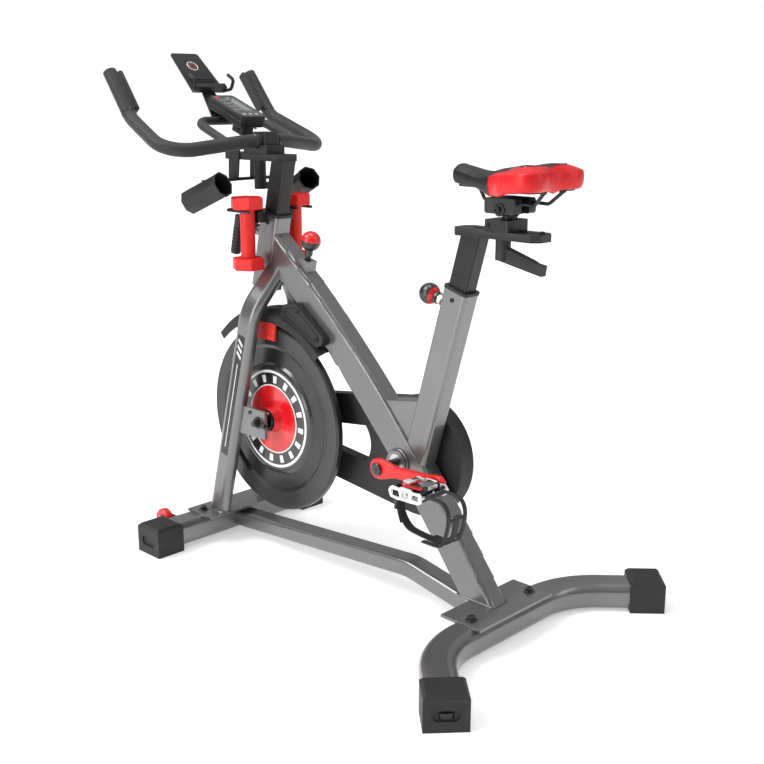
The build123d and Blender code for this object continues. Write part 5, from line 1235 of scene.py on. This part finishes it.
# ---- feet, wheels, posts, levers and small hardware ------------------------------------------------
HEAD_TOP, SEAT_TUBE_TOP = Vector((0.265, 0, 0.826)), Vector((-0.303, 0, 0.715))
MOUNT_BOLTS = ((0.452, 0.105, 0.074), (-0.426, 0.0955, 0.068))
WHEEL_HUB = [(0.0045, 0), (0.0120, 0), (0.0135, 0.0008), (0.0135, 0.0012), (0.0110, 0.0022),
             (0.0045, 0.0022)]
WHEEL_TREAD = [(0.0258, -0.0022), (0.0264, -0.0016), (0.0264, 0.0016), (0.0258, 0.0022)]


def foot_parts():
    """Bolts of the mounting plates, hub caps and tread of the transport wheels, and their pins' heads."""
    bolts = [hex_bolt((x, sign * y, z), Z, 0.0150, 0.0080, 0.0125) for x, y,
             z in MOUNT_BOLTS for sign in (-1, 1)]
    group("plate_bolts", bolts, "frame", "black_steel", "gloss_black", ("frame_bolts",))
    pins = []
    for side in SIGN:
        centre = Vector(joint(f"transport_wheel_{side}_spin")["pos_m"])
        parts = [lathe("hub", WHEEL_HUB, centre + Y * sign * 0.0098, Y * sign, 36) for sign in (-1, 1)]
        parts.append(lathe("tread", WHEEL_TREAD, centre, Y, 56))
        group(f"wheel_hub_{side}", parts, f"transport_wheel_{side}", "red_plastic", "red_plastic")
        pins += [hex_bolt(centre + Y * sign * 0.0188, Y * sign, 0.0095, 0.004, 0.0070) for sign in (-1, 1)]
    group("wheel_pins", pins, "frame", "black_steel", "black_steel")


def post_parts():
    """Set screws of the bushings, stops on the rails, and the seat carriage's screws."""
    screws = []
    for sign in (-1, 1):
        for top, up, face in ((SEAT_TUBE_TOP, SEAT_UP, 0.0230), (HEAD_TOP, HEAD_UP, 0.0240)):
            screws.append(socket_screw(top - up * 0.018 + Y * sign * face, Y * sign, 0.0046, 0.0020))
    group("bushing_screws", screws, "frame", "black_plastic", "black_steel")
    for post in ("seat_post", "handlebar_post"):
        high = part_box(post)[1]
        rail = [v.co.x for v in NODES[post].data.vertices if v.co.z > high.z - 0.001]
        x = min(rail) + 0.009 if post == "seat_post" else max(rail) - 0.009
        stop = hex_bolt((x, 0, high.z), Z, 0.0080, 0.0035, 0.0065)
        group(f"{post}_stops", [stop], post, "black_steel", "black_steel")
    screws = []
    for sign in (-1, 1):
        screws.append(socket_screw((-0.3925, sign * 0.0320, 0.856), Y * sign, 0.0042, 0.0026))
        screws.append(hex_bolt((-0.420, sign * 0.0108, 0.8875), Y * sign, 0.006, 0.0008, 0.0040))
    group("carriage_screws", screws, "seat_carriage", "black_steel", "black_steel")


def lever_parts():
    """Ribbed sleeve on the height lever, the pull pin's collar and the band round the knob."""
    ahead = Vector((HEAD_UP.z, 0, -HEAD_UP.x))
    start = HEAD_TOP - HEAD_UP * 0.137 + ahead * 0.128
    rib = [(0.0118, 0), (0.0127, 0.0010), (0.0127, 0.0042), (0.0118, 0.0052)]
    ribs = [lathe("rib", rib, start + HEAD_UP * (0.006 + 0.0088 * i), HEAD_UP, 40) for i in range(7)]
    end = [(0, -0.0030), (0.0080, -0.0026), (0.0112, -0.0008), (0.0118, 0.0010), (0, 0.0010)]
    ribs.append(lathe("lever_end", end, start, HEAD_UP, 40))
    axis = Vector(joint("height_lever_turn")["axis"])
    ribs.append(hex_bolt(HEAD_TOP - HEAD_UP * 0.055 + ahead * 0.126, axis, 0.009, 0.004, 0.0076))
    group("lever_ribs", ribs, "height_lever", "black_plastic", "black_plastic")
    collar = [(0.0053, 0.0502), (0.0112, 0.0502), (0.0118, 0.0480), (0.0118, 0.0440), (0.0111, 0.0425),
              (0.0111, 0.0400), (0.0053, 0.0400)]
    finish_piece(lathe("pin_collar", collar, SEAT_TUBE_TOP - SEAT_UP * 0.039, PIN_OUT, 44), "frame",
                 "bare_steel", "bare_steel")
    band = [(0.0231, -0.0022), (0.0234, -0.0016), (0.0234, -0.0010), (0.0231, -0.0004)]
    finish_piece(lathe("knob_band", band, KNOB_CENTRE, KNOB_DOWN, 72), "resistance_knob", "black_plastic",
                 "gloss_black")


def dumbbell_parts():
    """Shallow rings on the ends of the dumbbells' heads, and collars on their handles."""
    end_ring = bead(0.0209, 0.0014, 0.0006, (0.0004, 0.0006))
    collar = [(0.0168, -0.003), (0.0186, -0.001), (0.0186, 0.001), (0.0168, 0.003)]
    for side in SIGN:
        low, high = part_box(f"dumbbell_{side}")
        x, y = (low.x + high.x) / 2, (low.y + high.y) / 2
        rings = [lathe("face_ring", end_ring, (x, y, z), axis, 56) for z,
                 axis in ((high.z, Z), (low.z, -Z))]
        rings += [lathe("collar", collar, (x, y, z), Z, 48) for z in (high.z - 0.030, low.z + 0.030)]
        group(f"dumbbell_rings_{side}", rings, f"dumbbell_{side}", "red_vinyl", "red_vinyl")


CUP_RIM, CUP_END, CUP_RADIUS = Vector((0.294, 0.130, 0.901)), Vector((0.391, 0.152, 0.856)), 0.0283


def bottle_parts():
    """Rolled rims on the cups and bolts on their bracket."""
    rims, bolts = [], []
    for sign in (-1, 1):
        flip = Vector((1, sign, 1))
        rim = CUP_RIM * flip
        axis = (rim - CUP_END * flip).normalized()
        turn = basis(axis, Y)
        corners = [rim + turn @ Vector((CUP_RADIUS * cos(pi * k / 4), CUP_RADIUS * sin(pi * k / 4), 0))
                   - axis * 0.001 for k in range(8)]
        rims.append(rod("rim", corners, 0.0020, closed=True, smooth=False, sides=8))
        bolts += [hex_bolt((x, sign * 0.0340, 0.975), Y * sign, 0.0085, 0.0038, 0.0070)
                  for x in (0.366, 0.380)]
    group("cup_rims", rims, "handlebar_post", "black_plastic", "black_plastic")
    group("cup_screws", bolts, "handlebar_post", "black_plastic", "black_steel")


# ---- floor, light and camera -----------------------------------------------------------------------
CAMERA_PLACE = Vector((-1.755, 1.712, 1.103))
CAMERA_AHEAD = Vector((0.6774, -0.6920, -0.2498))
LENS, SENSOR = 53.07, 36.0


def aimed(name, data, place, direction):
    """Light or camera at a place, looking along a direction."""
    holder = bpy.data.objects.new(name, data)
    holder.location = place
    holder.rotation_mode = "QUATERNION"
    holder.rotation_quaternion = Vector(direction).to_track_quat("-Z", "Y")
    bpy.context.scene.collection.objects.link(holder)
    return holder


def area_light(name, place, aim, size, power):
    data = bpy.data.lights.new(name, "AREA")
    data.shape = "RECTANGLE"
    data.size, data.size_y = size
    data.energy = power
    aimed(name, data, place, Vector(aim) - Vector(place))


FLOOR_HALF, FLOOR_GRID, FLOOR_DROP = 40.0, 24, 0.0004
HORIZON, ZENITH, ZENITH_AT = 0.15, 0.66, 0.75     # light from the dome, and the height where it is fullest


def studio():
    """Pale floor, a dome that is white behind the object, a soft sun and three panels."""
    half, grid = FLOOR_HALF, FLOOR_GRID
    points, faces = [], []
    for i in range(grid + 1):
        for j in range(grid + 1):
            points.append((half * (2 * i / grid - 1), half * (2 * j / grid - 1), -FLOOR_DROP))
    for i in range(grid):
        for j in range(grid):
            a = i * (grid + 1) + j
            faces.append((a, a + grid + 1, a + grid + 2, a + 1))
    floor = mesh_object("studio_floor", points, faces)
    floor.data.materials.append(pale_floor())
    bpy.context.scene.collection.objects.link(floor)

    world = bpy.data.worlds.new("studio")
    bpy.context.scene.world = world
    world.use_nodes = True
    tree = world.node_tree
    background = tree.nodes["Background"]
    coords = tree.nodes.new("ShaderNodeTexCoord")
    split = tree.nodes.new("ShaderNodeSeparateXYZ")
    tree.links.new(coords.outputs["Generated"], split.inputs[0])
    dome = tree.nodes.new("ShaderNodeValToRGB")
    tree.links.new(split.outputs["Z"], dome.inputs["Fac"])
    for element, position, value in zip(dome.color_ramp.elements, (0.0, ZENITH_AT), (HORIZON, ZENITH)):
        element.position = position
        element.color = grey(value)
    path = tree.nodes.new("ShaderNodeLightPath")
    choose = tree.nodes.new("ShaderNodeMix")
    choose.data_type = "RGBA"
    tree.links.new(path.outputs["Is Camera Ray"], choose.inputs[0])
    tree.links.new(dome.outputs["Color"], choose.inputs[6])
    choose.inputs[7].default_value = grey(1.0)
    tree.links.new(choose.outputs[2], background.inputs["Color"])

    sun_data = bpy.data.lights.new("key_sun", "SUN")
    sun_data.energy, sun_data.angle = 1.9, radians(28)
    aimed("key_sun", sun_data, (0, 0, 0), (-0.45, -0.62, -0.95))
    area_light("left_panel", (0.5, 3.1, 1.3), (0, 0, 0.6), (1.2, 2.4), 44)
    area_light("rear_panel", (-2.6, -1.4, 2.0), (0, 0, 0.6), (0.6, 2.2), 14)
    area_light("top_panel", (0.0, 0.0, 3.2), (0, 0, 0.5), (1.8, 0.5), 20)
    bpy.context.scene.view_settings.view_transform = "Standard"


def camera():
    data = bpy.data.cameras.new("photo_camera")
    data.lens = LENS
    data.sensor_width = SENSOR
    bpy.context.scene.camera = aimed("photo_camera", data, CAMERA_PLACE, CAMERA_AHEAD)


camera()
studio()
saddle()
saddle_clamp()
crank_arms()
for side in SIGN:
    pedal(side)
    toe_cage(side)
bar_details()
grip_pads()
console_parts()
rack_parts()
flywheel_parts()
guard_parts()
fender_parts()
fork_parts()
foot_parts()
post_parts()
lever_parts()
dumbbell_parts()
bottle_parts()
